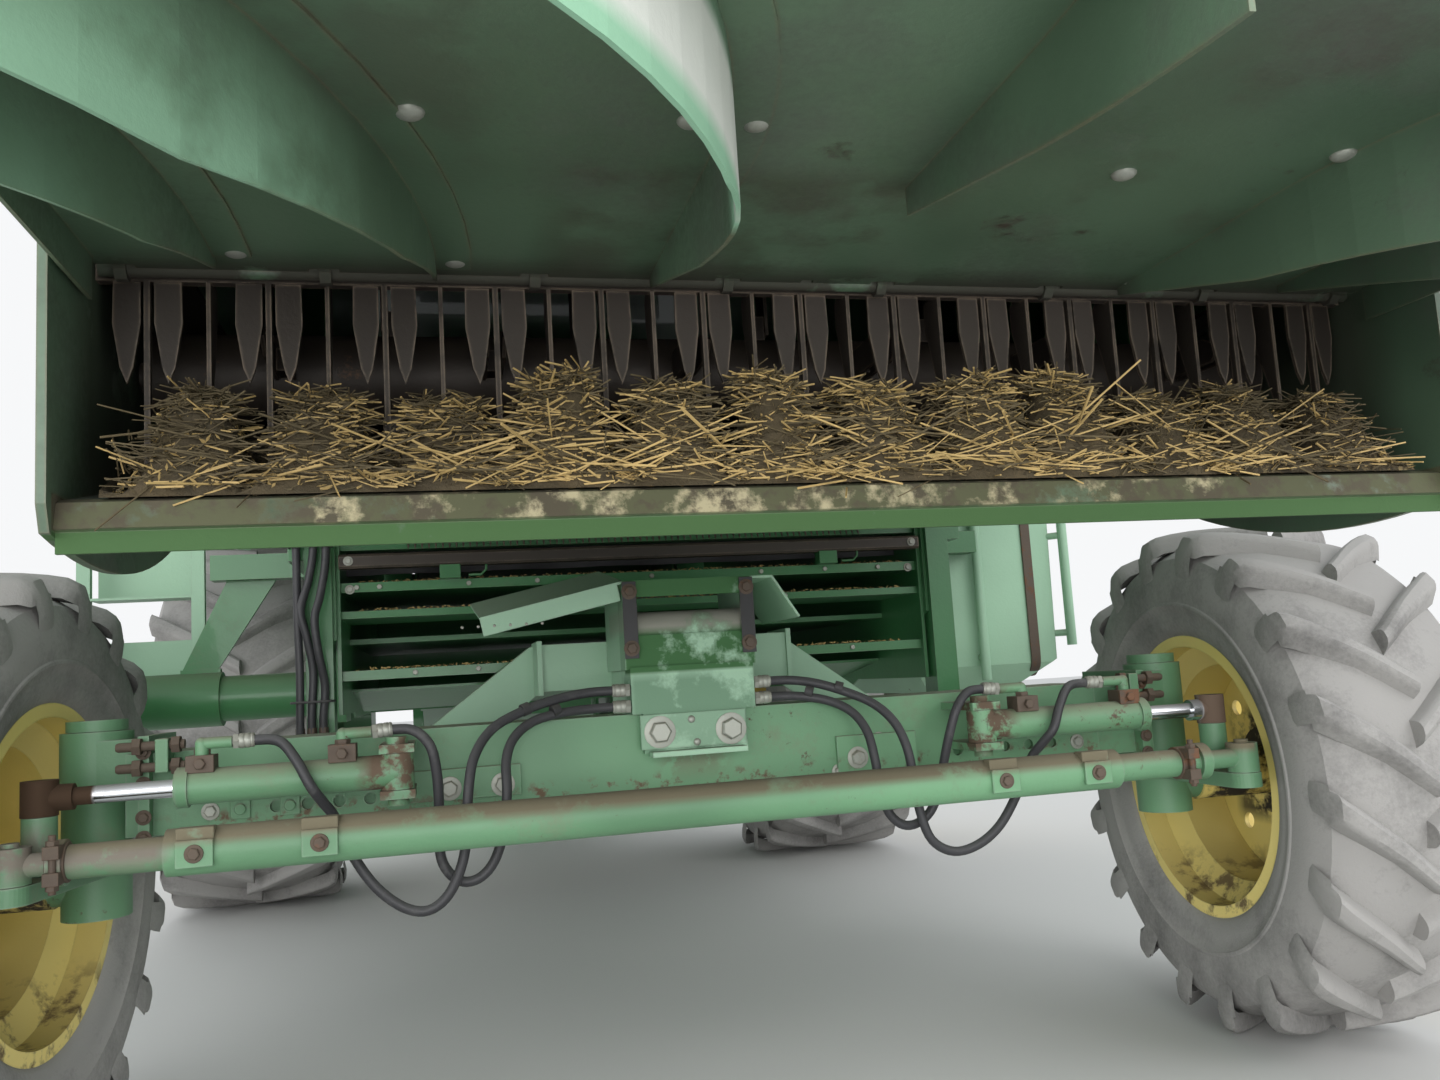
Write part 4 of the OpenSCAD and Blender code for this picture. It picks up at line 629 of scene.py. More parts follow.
def makeAxleTrim():
    y = axleTrim["face"]
    bm = bmesh.new()
    for x, z in axleTrim["bigBolts"]:
        addBolt(bm, back((x, y - 0.012, z)), (0, -1, 0), 0.0185, 0.014)
    for x, z in axleTrim["smallBolts"]:
        addBolt(bm, back((x, y, z)), (0, -1, 0), 0.013, 0.010)
    for x, z, size in axleTrim["yokeBolts"]:
        addBolt(bm, back((x, axleTrim["yokeFace"], z)), (0, -1, 0), size, 0.019)
    for x, z in axleTrim["yokeDomes"]:
        addDome(bm, back((x, axleTrim["yokeFace"], z)), (0, -1, 0), 0.009, 0.006)
    for i in range(6):
        addDome(bm, back((-0.36 - 0.035 * i, -0.245 + 0.004 * i, 1.165)), (0, -1, 0), 0.0035, 0.002)
    makePiece("axleBolts", bm, "zincSteel", "machine", sharp=30)
    bm = bmesh.new()
    for x, z in axleTrim["strapBolts"]:
        addBolt(bm, back((x, -0.1425, z)), (0, -1, 0), 0.013, 0.010)
    for side in (-1, 1):
        for z in (0.757, 0.80, 0.87, 0.937):
            addBolt(bm, back((side * 1.206, -0.132, z)), (0, -1, 0), 0.011, 0.009)
        # Stop screw with its lock nut, beside the king pin.
        for z in (0.905, 0.950):
            addStub(
                bm, back((side * 1.120, -0.150, z)), (side, 0, 0),
                [(0, 0.010), (0.13, 0.010), (0.135, 0.008)], 12
            )
            for x in (1.128, 1.205):
                addStub(bm, back((side * x, -0.150, z)), (side, 0, 0), axleTrim["lockNut"], 6)
    makePiece("rustyBolts", bm, "castIron", "machine", sharp=30)
    bm = bmesh.new()
    for low, high in (
        ((-0.672, y - 0.012, 0.782), (-0.412, y + 0.0005, 0.852)),
        ((0.355, y - 0.012, 0.756), (0.565, y + 0.0005, 0.858))
    ):
        addBlock(bm, low, high)
    for side in (-1, 1):
        addSideBlock(bm, side, (1.150, -0.134, 0.893), (1.176, -0.109, 0.964))
        addSideBlock(bm, side, (1.150, -0.168, 0.893), (1.176, -0.134, 0.964))
    for x, z in axleTrim["squarePlates"]:
        addBlock(bm, (x - 0.021, y - 0.006, z - 0.021), (x + 0.021, y + 0.0005, z + 0.021))
        addStub(bm, back((x, y - 0.006, z)), (0, -1, 0), [(0, 0.013), (0.006, 0.012)], 16)
    makePiece("axleBrackets", bm, "axleGreen", "machine", bevel=0.002)
    bm = bmesh.new()
    for side in (-1, 1):
        addSideBlock(bm, side, (0.127, -0.1435, 1.076), (0.161, -0.1405, 1.259))
    for x, y, z in (
        (-0.40, -0.166, 0.975), (0.355, -0.166, 0.978), (-0.33, -0.146, 0.968), (0.285, -0.146, 0.972)
    ):
        addStub(
            bm, back((x, y, z)), (1 if x > 0 else -1, -0.4, -0.35),
            [(-0.010, 0.0135), (-0.009, 0.0145), (0.009, 0.0145), (0.010, 0.0135)], 14
        )
    makePiece("yokeStraps", bm, "blackPlastic", "machine", bevel=0.001)
    # Cylinder base: a rusty eye, the feed block beside it and clamps on the barrel's ports.
    for side, word in ((-1, "left"), (1, "right")):
        body = "steer_cylinder_" + word
        bm = bmesh.new()
        for inner, outer, y, top in ((0.762, 0.818, -0.290, 0.930), (1.038, 1.092, -0.294, 0.928)):
            addSideBlock(bm, side, (inner, y, 0.893), (outer, y + 0.054, top))
        for x in (side * 0.790, side * 1.065):
            addStub(
                bm, back((x, -0.263, 0.926)), (0, 0, 1),
                [(0, 0.014), (0.001, 0.0165), (0.013, 0.0165), (0.014, 0.014)], 6
            )
            addStub(
                bm, back((x, -0.290, 0.911)), (0, -1, 0), [(0, 0.012), (0.010, 0.012), (0.012, 0.010)], 6
            )
        makePiece("portBlock_" + word, bm, "castIron", body, bevel=0.0015)
        bm = bmesh.new()
        for z in (0.8145, 0.9155):
            direction = (0, 0, -1 if z < 0.865 else 1)
            addStub(
                bm, back((side * 0.680, -0.255, z)), direction,
                [(0, 0.026), (0.003, 0.026), (0.004, 0.022)], 20
            )
            addStub(
                bm, back((side * 0.680, -0.255, z + direction[2] * 0.003)), direction,
                [(0, 0.019), (0.012, 0.019), (0.014, 0.016)], 6
            )
        makePiece("basePin_" + word, bm, "castIron", "machine", sharp=30)


makeAxleTrim()

# Tie rod: clamp plates on the main tube, split clamps with their bolts at the thin ends.
tieTrim = {"height": 0.752, "plates": [-1.047, -0.822, 0.635, 0.866], "clamps": [-1.290, 1.115]}


def makeTieTrim():
    low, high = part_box("tie_rod")
    middle = (low.y + high.y) / 2
    z = tieTrim["height"]
    bm = bmesh.new()
    for x in tieTrim["plates"]:
        addBox(bm, (x - 0.034, middle - 0.052, z - 0.026), (x + 0.034, middle - 0.0425, z + 0.026))
        addBox(bm, (x - 0.034, middle - 0.0425, z + 0.020), (x + 0.034, middle - 0.010, z + 0.0475))
    makePiece("tieRodPlates", bm, "axleGreen", "tie_rod", bevel=0.002)
    bm = bmesh.new()
    for x in tieTrim["plates"]:
        addBolt(bm, (x, middle - 0.052, z), (0, -1, 0), 0.012, 0.010)
    for x in tieTrim["clamps"]:
        addStub(
            bm, (x - 0.017, middle, z), (1, 0, 0),
            [(0, 0.036), (0.001, 0.038), (0.033, 0.038), (0.034, 0.036)], 24
        )
        addBox(bm, (x - 0.014, middle - 0.056, z + 0.012), (x + 0.014, middle - 0.02, z + 0.036))
        addBox(bm, (x - 0.014, middle - 0.056, z - 0.036), (x + 0.014, middle - 0.02, z - 0.012))
        addStub(bm, (x, middle - 0.044, z - 0.052), (0, 0, 1), [(0, 0.007), (0.108, 0.007)], 10)
        for end, way in ((z + 0.036, 1), (z - 0.036, -1)):
            addStub(
                bm, (x, middle - 0.044, end), (0, 0, way), [(0, 0.012), (0.009, 0.012), (0.010, 0.010)], 6
            )
    makePiece("tieRodClamps", bm, "castIron", "tie_rod", bevel=0.001)


makeTieTrim()
print("axle and tie rod trim built")

# Spreader board: coach bolts through the vanes' feet.
boardBolts = [
    (-0.598, -1.654), (-0.912, -1.445), (-0.837, -1.233), (-0.546, -1.217), (-0.222, -1.671),
    (-0.296, -1.669), (0.293, -1.594), (0.556, -1.677), (0.569, -1.196), (0.866, -1.219), (-0.45, -2.02),
    (0.12, -2.05), (0.78, -1.98), (-0.90, -1.95)
]
bm = bmesh.new()
for x, y in boardBolts:
    addDome(bm, back((x, y, 1.637)), (0, 0, -1), 0.0165, 0.008)
    addNut(bm, back((x, y, 1.643)), (0, 0, 1), 0.011)
makePiece("vaneBolts", bm, "zincSteel", "tailboard", sharp=40)

# Straw left in the chopper's outlet: a bed of chaff on the lip's floor, with stems lying over it. The
# chaff's dark colour and the dark stems and flakes are partly painted shade.
straw = {
    "bed": 150, "from": -0.99, "to": 0.99, "seed": 21,
    "stems": {"strawDark": 3200, "strawGold": 1500},
    "flakes": {"strawDark": 6500, "strawGold": 2500},
    "firstBar": -0.972, "pitch": 0.162,
    "floor": 1.300, "crest": 1.446, "notch": 0.135,
    "drifts": (-0.66, -0.48, -0.36, -0.16, -0.03, 0.08, 0.30, 0.36, 0.62),
}


def barDistance(x):
    # Half the pitch at a bar of the comb, 0 half way between two.
    return abs((x - straw["firstBar"]) % straw["pitch"] - straw["pitch"] / 2)


def bedHeight(x):
    heap = max(0, (barDistance(x) - 0.034) / 0.042) ** 1.2
    wave = 0.055 * noise.noise(Vector((x * 4.3, 2.0, 0)))
    ripple = 0.022 * noise.noise(Vector((x * 15, 5.0, 0)))
    return straw["crest"] + wave + ripple - 0.03 * abs(x) ** 3 - straw["notch"] * heap


def tangle(place, scale):
    return noise.noise_vector(Vector([value * scale for value in place]))


def makeStraw():
    random.seed(straw["seed"])
    noise.seed_set(straw["seed"])  # without it the bed's surface differs from run to run
    count = straw["bed"]
    bm = bmesh.new()
    rows = []
    for i in range(count + 1):
        x = straw["from"] + (straw["to"] - straw["from"]) * i / count
        crest = bedHeight(x)
        rise = crest - straw["floor"]
        section = [
            (-1.296, 1.2915), (-1.290, 1.300), (-1.268, 1.293 + rise * 0.45), (-1.242, 1.293 + rise * 0.82),
            (-1.212, crest), (-1.180, crest - 0.004), (-1.145, crest - 0.035), (-1.105, 1.385),
            (-1.06, 1.367), (-1.03, 1.352), (-1.026, 1.345), (-1.10, 1.331), (-1.20, 1.310)
        ]
        ring = []
        for j, (y, z) in enumerate(section):
            rough = 0.0 if j in (0, 10, 11, 12) else 1.0
            wave = tangle((x, y, z), 26) * 0.013 + tangle((x, y, z), 90) * 0.006
            if j in (7, 8, 9):
                wave = wave * 0.4
                wave.z = -abs(wave.z)
            ring.append(back((x, y + wave.y * rough, z + wave.z * rough)))
        rows.append(ring)
    addLoft(bm, rows)
    makePiece("chaffBed", bm, "chaff", "machine", sharp=80)
    for color, many in straw["stems"].items():
        bm = bmesh.new()
        for i in range(many):
            addStem(bm, color == "strawGold")
        makePiece("stems" + color[5:], bm, color, "machine", smooth=False)
    for color, many in straw["flakes"].items():
        bm = bmesh.new()
        for i in range(many):
            addFlake(bm)
        makePiece("flakes" + color[5:], bm, color, "machine", smooth=False)


def addStem(bm, pale):
    x = random.uniform(straw["from"] + 0.03, straw["to"] - 0.03)
    if pale and random.random() < 0.6:
        x = random.choice(straw["drifts"]) + random.gauss(0, 0.055)
    run = random.random() ** (1.7 if pale else 1)
    nearBar = barDistance(x) > 0.050 and run > 0.18
    if nearBar and random.random() < 0.92:
        x += random.choice((-0.045, 0.045))
        nearBar = False
    crest = bedHeight(x)
    y = -1.29 + 0.15 * run
    climb = math.sin(min(1, run * 1.5) * math.pi / 2)
    z = straw["floor"] + (crest - 1.290) * climb + random.uniform(-0.004, 0.012)
    size = random.uniform(0.03, 0.11) if random.random() < 0.86 else random.uniform(0.12, 0.30)
    if run > 0.25:
        size = min(size, 0.075)
    spread = 0.8 if run > 0.2 else 0.45
    turn = random.gauss(0, spread) if random.random() < 0.7 else random.uniform(-1.57, 1.57)
    if nearBar and random.random() < 0.8:
        turn, size = random.gauss(1.57, 0.35), size * 0.7
    way = Vector(
        (math.cos(turn) * random.choice((-1, 1)), math.sin(turn) * 0.8 - 0.1, random.gauss(0.05, 0.28))
    )
    way.normalize()
    ends = []
    for sign in (-0.5, 0.5):
        end = Vector((x, y, z)) + way * size * sign
        end.x = max(-0.985, min(0.985, end.x))
        end.y = max(-1.345, min(-1.130, end.y))
        end.z = max(1.297 if end.y > -1.300 else 1.245, min(end.z, 1.50))
        ends.append(end)
    middle = (ends[0] + ends[1]) / 2
    middle.z = max(middle.z, 1.299 if middle.y > -1.302 else 1.25) + random.uniform(-0.004, 0.008)
    thick = random.uniform(0.0008, 0.0017) * (1.2 if size > 0.12 else 1) * (1.1 if pale else 0.9)
    addTube(bm, [back(ends[0]), back(middle), back(ends[1])], thick, 4)


def addSliver(bm, place, reach, half):
    corners = (place - reach, place + half, place + reach, place - half)
    bm.faces.new([bm.verts.new(corner) for corner in corners])


def addFlake(bm):
    x = random.uniform(straw["from"] + 0.01, straw["to"] - 0.01)
    run = random.random() ** 0.9
    climb = math.sin(min(1, run * 1.55) * math.pi / 2)
    z = 1.2975 + (bedHeight(x) - 1.293) * climb + random.uniform(-0.002, 0.006)
    size = random.uniform(0.004, 0.022)
    way = Vector((random.gauss(0, 1), random.gauss(0, 1), random.gauss(0, 0.6))).normalized()
    other = way.orthogonal().normalized() * random.uniform(0.0008, 0.0025)
    addSliver(bm, back((x, -1.302 + 0.17 * run, z)), way * size / 2, other)


makeStraw()
print("straw built")


# Marks that lie at one place, laid over a finish; the pale and white ones on the spreader vanes are painted
# highlights, sunlight on their faces. Corners are in metres, y from the rear axle.
def addMark(name, low, high, color, amount=0.6, scale=9.0, soft=0.01, dull=0.85):
    tree = finishes[name].node_tree
    shader = tree.nodes["Principled BSDF"]
    place = addNode(tree, "ShaderNodeTexCoord").outputs["Object"]
    axes = addNode(tree, "ShaderNodeSeparateXYZ", {0: place})
    cloud = addNode(
        tree, "ShaderNodeTexNoise", {"Vector": place, "Scale": scale, "Detail": 7.0, "Roughness": 0.65}
    )
    start = 0.68 - 0.42 * amount
    mask = ramp(tree, cloud.outputs[0], start, start + 0.1)
    for i, (least, most) in enumerate(zip(back(low), back(high))):
        mask = sums(tree, "MULTIPLY", mask, ramp(tree, axes.outputs[i], least - soft, least + soft))
        mask = sums(tree, "MULTIPLY", mask, ramp(tree, axes.outputs[i], most + soft, most - soft))
    before = shader.inputs["Base Color"].links[0].from_socket
    tree.links.new(mixColors(tree, mask, before, list(color) + [1]), shader.inputs["Base Color"])
    before = shader.inputs["Roughness"].links[0].from_socket
    tree.links.new(
        sums(tree, "MAXIMUM", before, sums(tree, "MULTIPLY", mask, dull)), shader.inputs["Roughness"]
    )
    if shader.inputs["Metallic"].default_value > 0.9:
        tree.links.new(sums(tree, "SUBTRACT", 1.0, mask), shader.inputs["Metallic"])


marks = [
    ("boardGreen", (-1.04, -1.312, 1.2505), (1.04, -1.262, 1.297), (0.085, 0.088, 0.045), 0.85, 9, 0.002),
    ("boardGreen", (-0.75, -1.312, 1.2505), (0.62, -1.262, 1.297), (0.42, 0.37, 0.23), 0.44, 13, 0.002),
    ("boardGreen", (-1.04, -1.312, 1.2505), (1.04, -1.262, 1.297), (0.075, 0.064, 0.04), 0.46, 22, 0.002),
    ("boardGreen", (-1.06, -1.312, 1.215), (1.06, -1.288, 1.2495), (0.045, 0.105, 0.032), 0.95, 6, 0.002),
    ("boardGreen", (-0.42, -1.55, 1.630), (0.10, -1.17, 1.650), (0.048, 0.034, 0.026), 0.62, 4, 0.03),
    ("boardGreen", (0.25, -2.0, 1.630), (0.95, -1.3, 1.650), (0.052, 0.038, 0.03), 0.45, 3, 0.04),
    ("boardGreen", (-1.0, -2.18, 1.630), (-0.5, -1.5, 1.650), (0.05, 0.045, 0.035), 0.5, 3, 0.04),
    # Painted highlights, standing in for sunlight: mint on the middle vane's face, white on its upper part,
    # and mint on the left vane's lower part.
    ("boardGreen", (-0.57, -2.22, 1.20), (-0.20, -1.70, 1.600), (0.25, 0.46, 0.31), 1.0, 2.5, 0.03),
    ("boardGreen", (-0.57, -2.22, 1.492), (-0.20, -1.74, 1.603), (0.60, 0.62, 0.57), 1.1, 1.2, 0.012),
    ("boardGreen", (-0.97, -2.19, 1.20), (-0.60, -1.66, 1.56), (0.20, 0.36, 0.24), 0.75, 2.0, 0.07),
    ("boardGreen", (-1.05, -1.2, 1.3), (1.05, -0.5, 1.9), (0.036, 0.03, 0.022), 0.85, 5, 0.05),
    ("axleGreen", (-0.075, -0.125, 0.80), (0.075, -0.10, 0.86), (0.12, 0.066, 0.038), 0.7, 20, 0.028),
    ("axleGreen", (-1.2, -0.125, 0.745), (1.2, -0.10, 0.80), (0.12, 0.085, 0.05), 0.36, 30, 0.01),
    ("axleGreen", (-0.75, -0.33, 0.80), (-0.60, -0.2, 0.95), (0.11, 0.075, 0.048), 0.62, 24, 0.02),
    ("axleGreen", (0.60, -0.33, 0.80), (0.75, -0.2, 0.95), (0.11, 0.075, 0.048), 0.62, 24, 0.02),
    ("axleGreen", (-1.5, -0.5, 0.735), (-1.10, -0.30, 0.81), (0.17, 0.15, 0.12), 0.75, 14, 0.02),
    ("axleGreen", (-1.3, -0.46, 0.770), (1.3, -0.33, 0.81), (0.155, 0.135, 0.085), 0.85, 7, 0.008),
    ("mintGreen", (-0.16, -0.15, 0.84), (0.16, 0.0, 1.04), (0.10, 0.21, 0.12), 0.62, 7, 0.02),
    ("mintGreen", (-0.16, -0.16, 1.04), (0.16, -0.06, 1.27), (0.05, 0.145, 0.05), 0.8, 6, 0.004),
    ("mintGreen", (-0.16, -0.15, 1.14), (0.16, 0.1, 1.195), (0.30, 0.30, 0.25), 0.8, 6, 0.01),
    ("polishedRod", (-1.40, -0.42, 0.80), (-1.262, -0.15, 0.93), (0.12, 0.08, 0.055), 1.2, 20, 0.004),
    ("polishedRod", (1.262, -0.42, 0.80), (1.40, -0.15, 0.93), (0.12, 0.08, 0.055), 1.2, 20, 0.004),
    ("rimYellow", (-1.70, -0.16, 0.53), (-1.36, 0.16, 0.83), (0.035, 0.028, 0.02), 0.62, 9, 0.02),
    ("rimYellow", (1.36, -0.16, 0.53), (1.70, 0.16, 0.83), (0.035, 0.028, 0.02), 0.62, 9, 0.02),
    ("rimYellow", (-1.86, -0.42, 0.26), (1.86, 0.42, 0.42), (0.17, 0.12, 0.055), 0.45, 12, 0.04),
]
for mark in marks:
    addMark(*mark)

# Cleaning shoe as seen from behind: dark curtain, finger bar, rolled bar, small bolts and crumbs of chaff.
shoe = {"half": 0.838, "fingers": 72, "crumbs": 1500}


def makeShoeTrim():
    random.seed(5)
    half = shoe["half"]
    bm = bmesh.new()
    count = 60
    front, rear = [], []
    for i in range(count + 1):
        x = -half + 2 * half * i / count
        wave = 0.012 * math.sin(x * 21)
        front.append([back((x, 0.60 + wave, z)) for z in (1.372, 1.50, 1.70, 1.92)])
        rear.append([back((x, 0.606 + wave, z)) for z in (1.92, 1.70, 1.50, 1.372)])
    addLoft(bm, [a + b for a, b in zip(front, rear)])
    makePiece("shoeCurtain", bm, "blackPlastic", "machine", sharp=60)
    bm = bmesh.new()
    for i in range(shoe["fingers"]):
        x = -0.66 + 1.32 * i / (shoe["fingers"] - 1)
        addStub(
            bm, back((x, 0.436, 1.452)), (0, -0.5, -1), [(0, 0.004), (0.022, 0.003), (0.034, 0.0012)], 6
        )
    section = [
        (0.402, 1.372), (0.440, 1.372), (0.440, 1.410), (0.434, 1.414), (0.402, 1.410), (0.398, 1.404),
        (0.398, 1.378)
    ]
    addLoft(bm, [[back((x, y, z)) for y, z in section] for x in (-half - 0.005, half + 0.005)])
    makePiece("shoeFingerBar", bm, "knifeSteel", "machine", sharp=30)
    bm = bmesh.new()
    for x in (-half + 0.02, half - 0.02):
        for z in (1.392, 1.318):
            addBolt(bm, back((x, 0.398 if z > 1.35 else 0.440, z)), (0, -1, 0), 0.009, 0.008)
    for x, z in (
        (-0.80, 1.323), (-0.74, 1.323), (-0.50, 1.323), (-0.31, 1.323), (0.02, 1.323), (0.35, 1.323),
        (0.55, 1.323), (0.72, 1.323), (-0.652, 1.084), (-0.482, 1.084), (0.30, 1.084), (0.62, 1.084),
        (-0.36, 1.248), (0.42, 1.248)
    ):
        addBolt(bm, back((x, 0.440, z)), (0, -1, 0), 0.0075, 0.006, False)
    makePiece("shoeBolts", bm, "zincSteel", "machine", sharp=30)
    bm = bmesh.new()
    for x in (-0.55, 0.55):
        addBlock(bm, (x - 0.028, 0.396, 1.336), (x + 0.028, 0.442, 1.374))
        addTube(
            bm,
            [
                back((x + 0.05, 0.424, 1.345)), back((x + 0.085, 0.418, 1.345)),
                back((x + 0.098, 0.418, 1.358)), back((x + 0.10, 0.418, 1.382))
            ],
            0.004, 8
        )
    makePiece("shoeTabs", bm, "machineGreen", "machine", bevel=0.002)
    bm = bmesh.new()
    for i in range(shoe["crumbs"]):
        x = random.uniform(-0.80, 0.80)
        z = random.choice((1.3365, 1.2585, 1.0965))
        place = back(
            (
                x + random.gauss(0, 0.01), 0.452 + abs(random.gauss(0, 0.012)),
                z + random.uniform(0.001, 0.006)
            )
        )
        way = Vector((random.gauss(0, 1), random.gauss(0, 1), random.gauss(0, 0.3))).normalized()
        other = way.orthogonal().normalized() * random.uniform(0.001, 0.003)
        size = random.uniform(0.004, 0.018)
        addSliver(bm, place, way * size / 2, other)
    makePiece("shoeCrumbs", bm, "strawGold", "machine", smooth=False)


makeShoeTrim()

# Hydraulic lines clipped to the left rear post, and the straps round the fuel tank.
postLines = [
    [
        (-0.948, 0.362, 1.560), (-0.946, 0.362, 1.39), (-0.946, 0.360, 1.25), (-0.942, 0.358, 1.09),
        (-0.944, 0.360, 0.96), (-0.944, 0.364, 0.925)
    ],
    [
        (-0.905, 0.362, 1.560), (-0.903, 0.360, 1.43), (-0.916, 0.358, 1.34), (-0.935, 0.340, 1.26),
        (-0.922, 0.344, 1.19), (-0.909, 0.360, 1.10), (-0.915, 0.362, 0.99), (-0.915, 0.364, 0.925)
    ],
    [
        (-0.872, 0.362, 1.560), (-0.872, 0.360, 1.40), (-0.886, 0.346, 1.30), (-0.900, 0.330, 1.235),
        (-0.893, 0.334, 1.15), (-0.880, 0.358, 1.06), (-0.886, 0.362, 0.98), (-0.886, 0.364, 0.925)
    ],
]


def makePostLines():
    bm = bmesh.new()
    for points in postLines:
        addTube(bm, backAll(smoothPath(points, 5)), 0.0105, 10)
    makePiece("postLines", bm, "hoseRubber", "machine", sharp=60)
    bm = bmesh.new()
    addBlock(bm, (-0.962, 0.345, 0.888), (-0.868, 0.381, 0.920))
    for x in (-0.944, -0.915, -0.886):
        addStub(
            bm, back((x, 0.364, 0.919)), (0, 0, 1),
            [(0, 0.012), (0.001, 0.0145), (0.014, 0.0145), (0.016, 0.0125), (0.034, 0.0125)], 6
        )
    makePiece("postLineBlock", bm, "castIron", "machine", bevel=0.001)
    bm = bmesh.new()
    for z, reach in ((1.02, 0.346), (1.43, 0.346)):
        strap = (
            (-0.966, 0.379), (
                -0.963, reach + 0.004
            ), (-0.950, reach), (-0.876, reach), (-0.862, reach + 0.006),
            (-0.858, 0.379)
        )
        addTube(bm, backAll(smoothPath([(x, y, z) for x, y in strap], 3)), 0.0035, 6)
    makePiece("postLineClips", bm, "blackPlastic", "machine", sharp=60)
    bm = bmesh.new()
    for x, drop in ((1.125, 0.0), (1.475, -0.045)):
        path = smoothPath(
            [
                (x, 0.8965, 1.60), (x, 0.896, 1.35), (x, 0.896, 1.10), (x, 0.899, 1.0),
                (x, 0.93, 0.945 - drop * 0.5), (x, 0.965, 0.911 - drop), (x, 1.10, 0.911 - drop),
                (x, 1.45, 0.911 - drop)
            ],
            4
        )
        rings = []
        for i, point in enumerate(path):
            along = (path[min(i + 1, len(path) - 1)] - path[max(i - 1, 0)]).normalized()
            out = Vector((0, along.z, -along.y))
            rings.append(
                [
                    back(point + Vector((dx, 0, 0)) + out * dn)
                    for dx, dn in ((-0.018, -0.002), (0.018, -0.002), (0.018, 0.004), (-0.018, 0.004))
                ]
            )
        addLoft(bm, rings)
    makePiece("tankStraps", bm, "castIron", "machine", bevel=0.001)


makePostLines()
print("marks, shoe trim and lines built")


# Cab: seat, lamps, mirrors and seals.
def seatFabric():
    material = bpy.data.materials.new("seatFabric")
    material.use_nodes = True
    tree = material.node_tree
    shader = tree.nodes["Principled BSDF"]
    place = addNode(tree, "ShaderNodeTexCoord").outputs["Object"]
    weave = addNode(tree, "ShaderNodeTexWave", {"Vector": place, "Scale": 160.0, "Distortion": 0.6})
    across = addNode(
        tree, "ShaderNodeTexWave", {"Vector": place, "Scale": 160.0, "Distortion": 0.6}, bands_direction="Z"
    )
    threads = sums(tree, "MULTIPLY", weave.outputs[1], across.outputs[1])
    worn = addNode(tree, "ShaderNodeTexNoise", {"Vector": place, "Scale": 5.0, "Detail": 5.0})
    plain = mixColors(tree, threads, (0.028, 0.030, 0.032, 1), (0.075, 0.078, 0.08, 1))
    tree.links.new(
        mixColors(tree, ramp(tree, worn.outputs[0], 0.5, 0.75), plain, (0.12, 0.11, 0.095, 1)),
        shader.inputs["Base Color"]
    )
    shader.inputs["Roughness"].default_value = 0.9
    shader.inputs["Sheen Weight"].default_value = 0.35
    relief = addNode(tree, "ShaderNodeBump", {"Strength": 0.4, "Distance": 0.001, "Height": threads})
    tree.links.new(relief.outputs[0], shader.inputs["Normal"])
    return material


finishes["seatFabric"] = seatFabric()
finishes["mirrorGlass"] = finish(
    "mirrorGlass", (0.75, 0.77, 0.78), rough=0.06, metal=1.0, dust=0.1, chips=0.0, edges=0.0, vary=0.02,
    bump=0.01
)
cab = {"back": 3.40, "floor": 2.11, "lampFront": 5.075, "beacon": 0.061}


def addPad(bm, centre, size, turn=0.0, crown=0.22):
    wide, deep, high = size
    spin = Matrix.Rotation(turn, 3, "X")
    rings = []
    steps = 20
    for j in range(steps + 1):
        v = -1 + 2 * j / steps
        pull = 1 - abs(v) ** 4 * 0.07
        ring = []
        for k in range(40):
            angle = 2 * math.pi * k / 40
            c, s = math.cos(angle), math.sin(angle)
            u = math.copysign(abs(c) ** 0.42, c)
            w = math.copysign(abs(s) ** 0.55, s)
            swell = 1 + crown * (1 - u * u) * (1 - v * v) if s > 0 else 1
            channel = 0.06 * math.exp(-((abs(u) - 0.55) * 16) ** 2) if s > 0 else 0
            thick = (1 - abs(v) ** 6 * 0.55) * (swell - channel)
            ring.append(back(Vector(centre) + spin @ Vector((wide * u * pull, deep * v, high * w * thick))))
        rings.append(ring)
    addLoft(bm, rings)


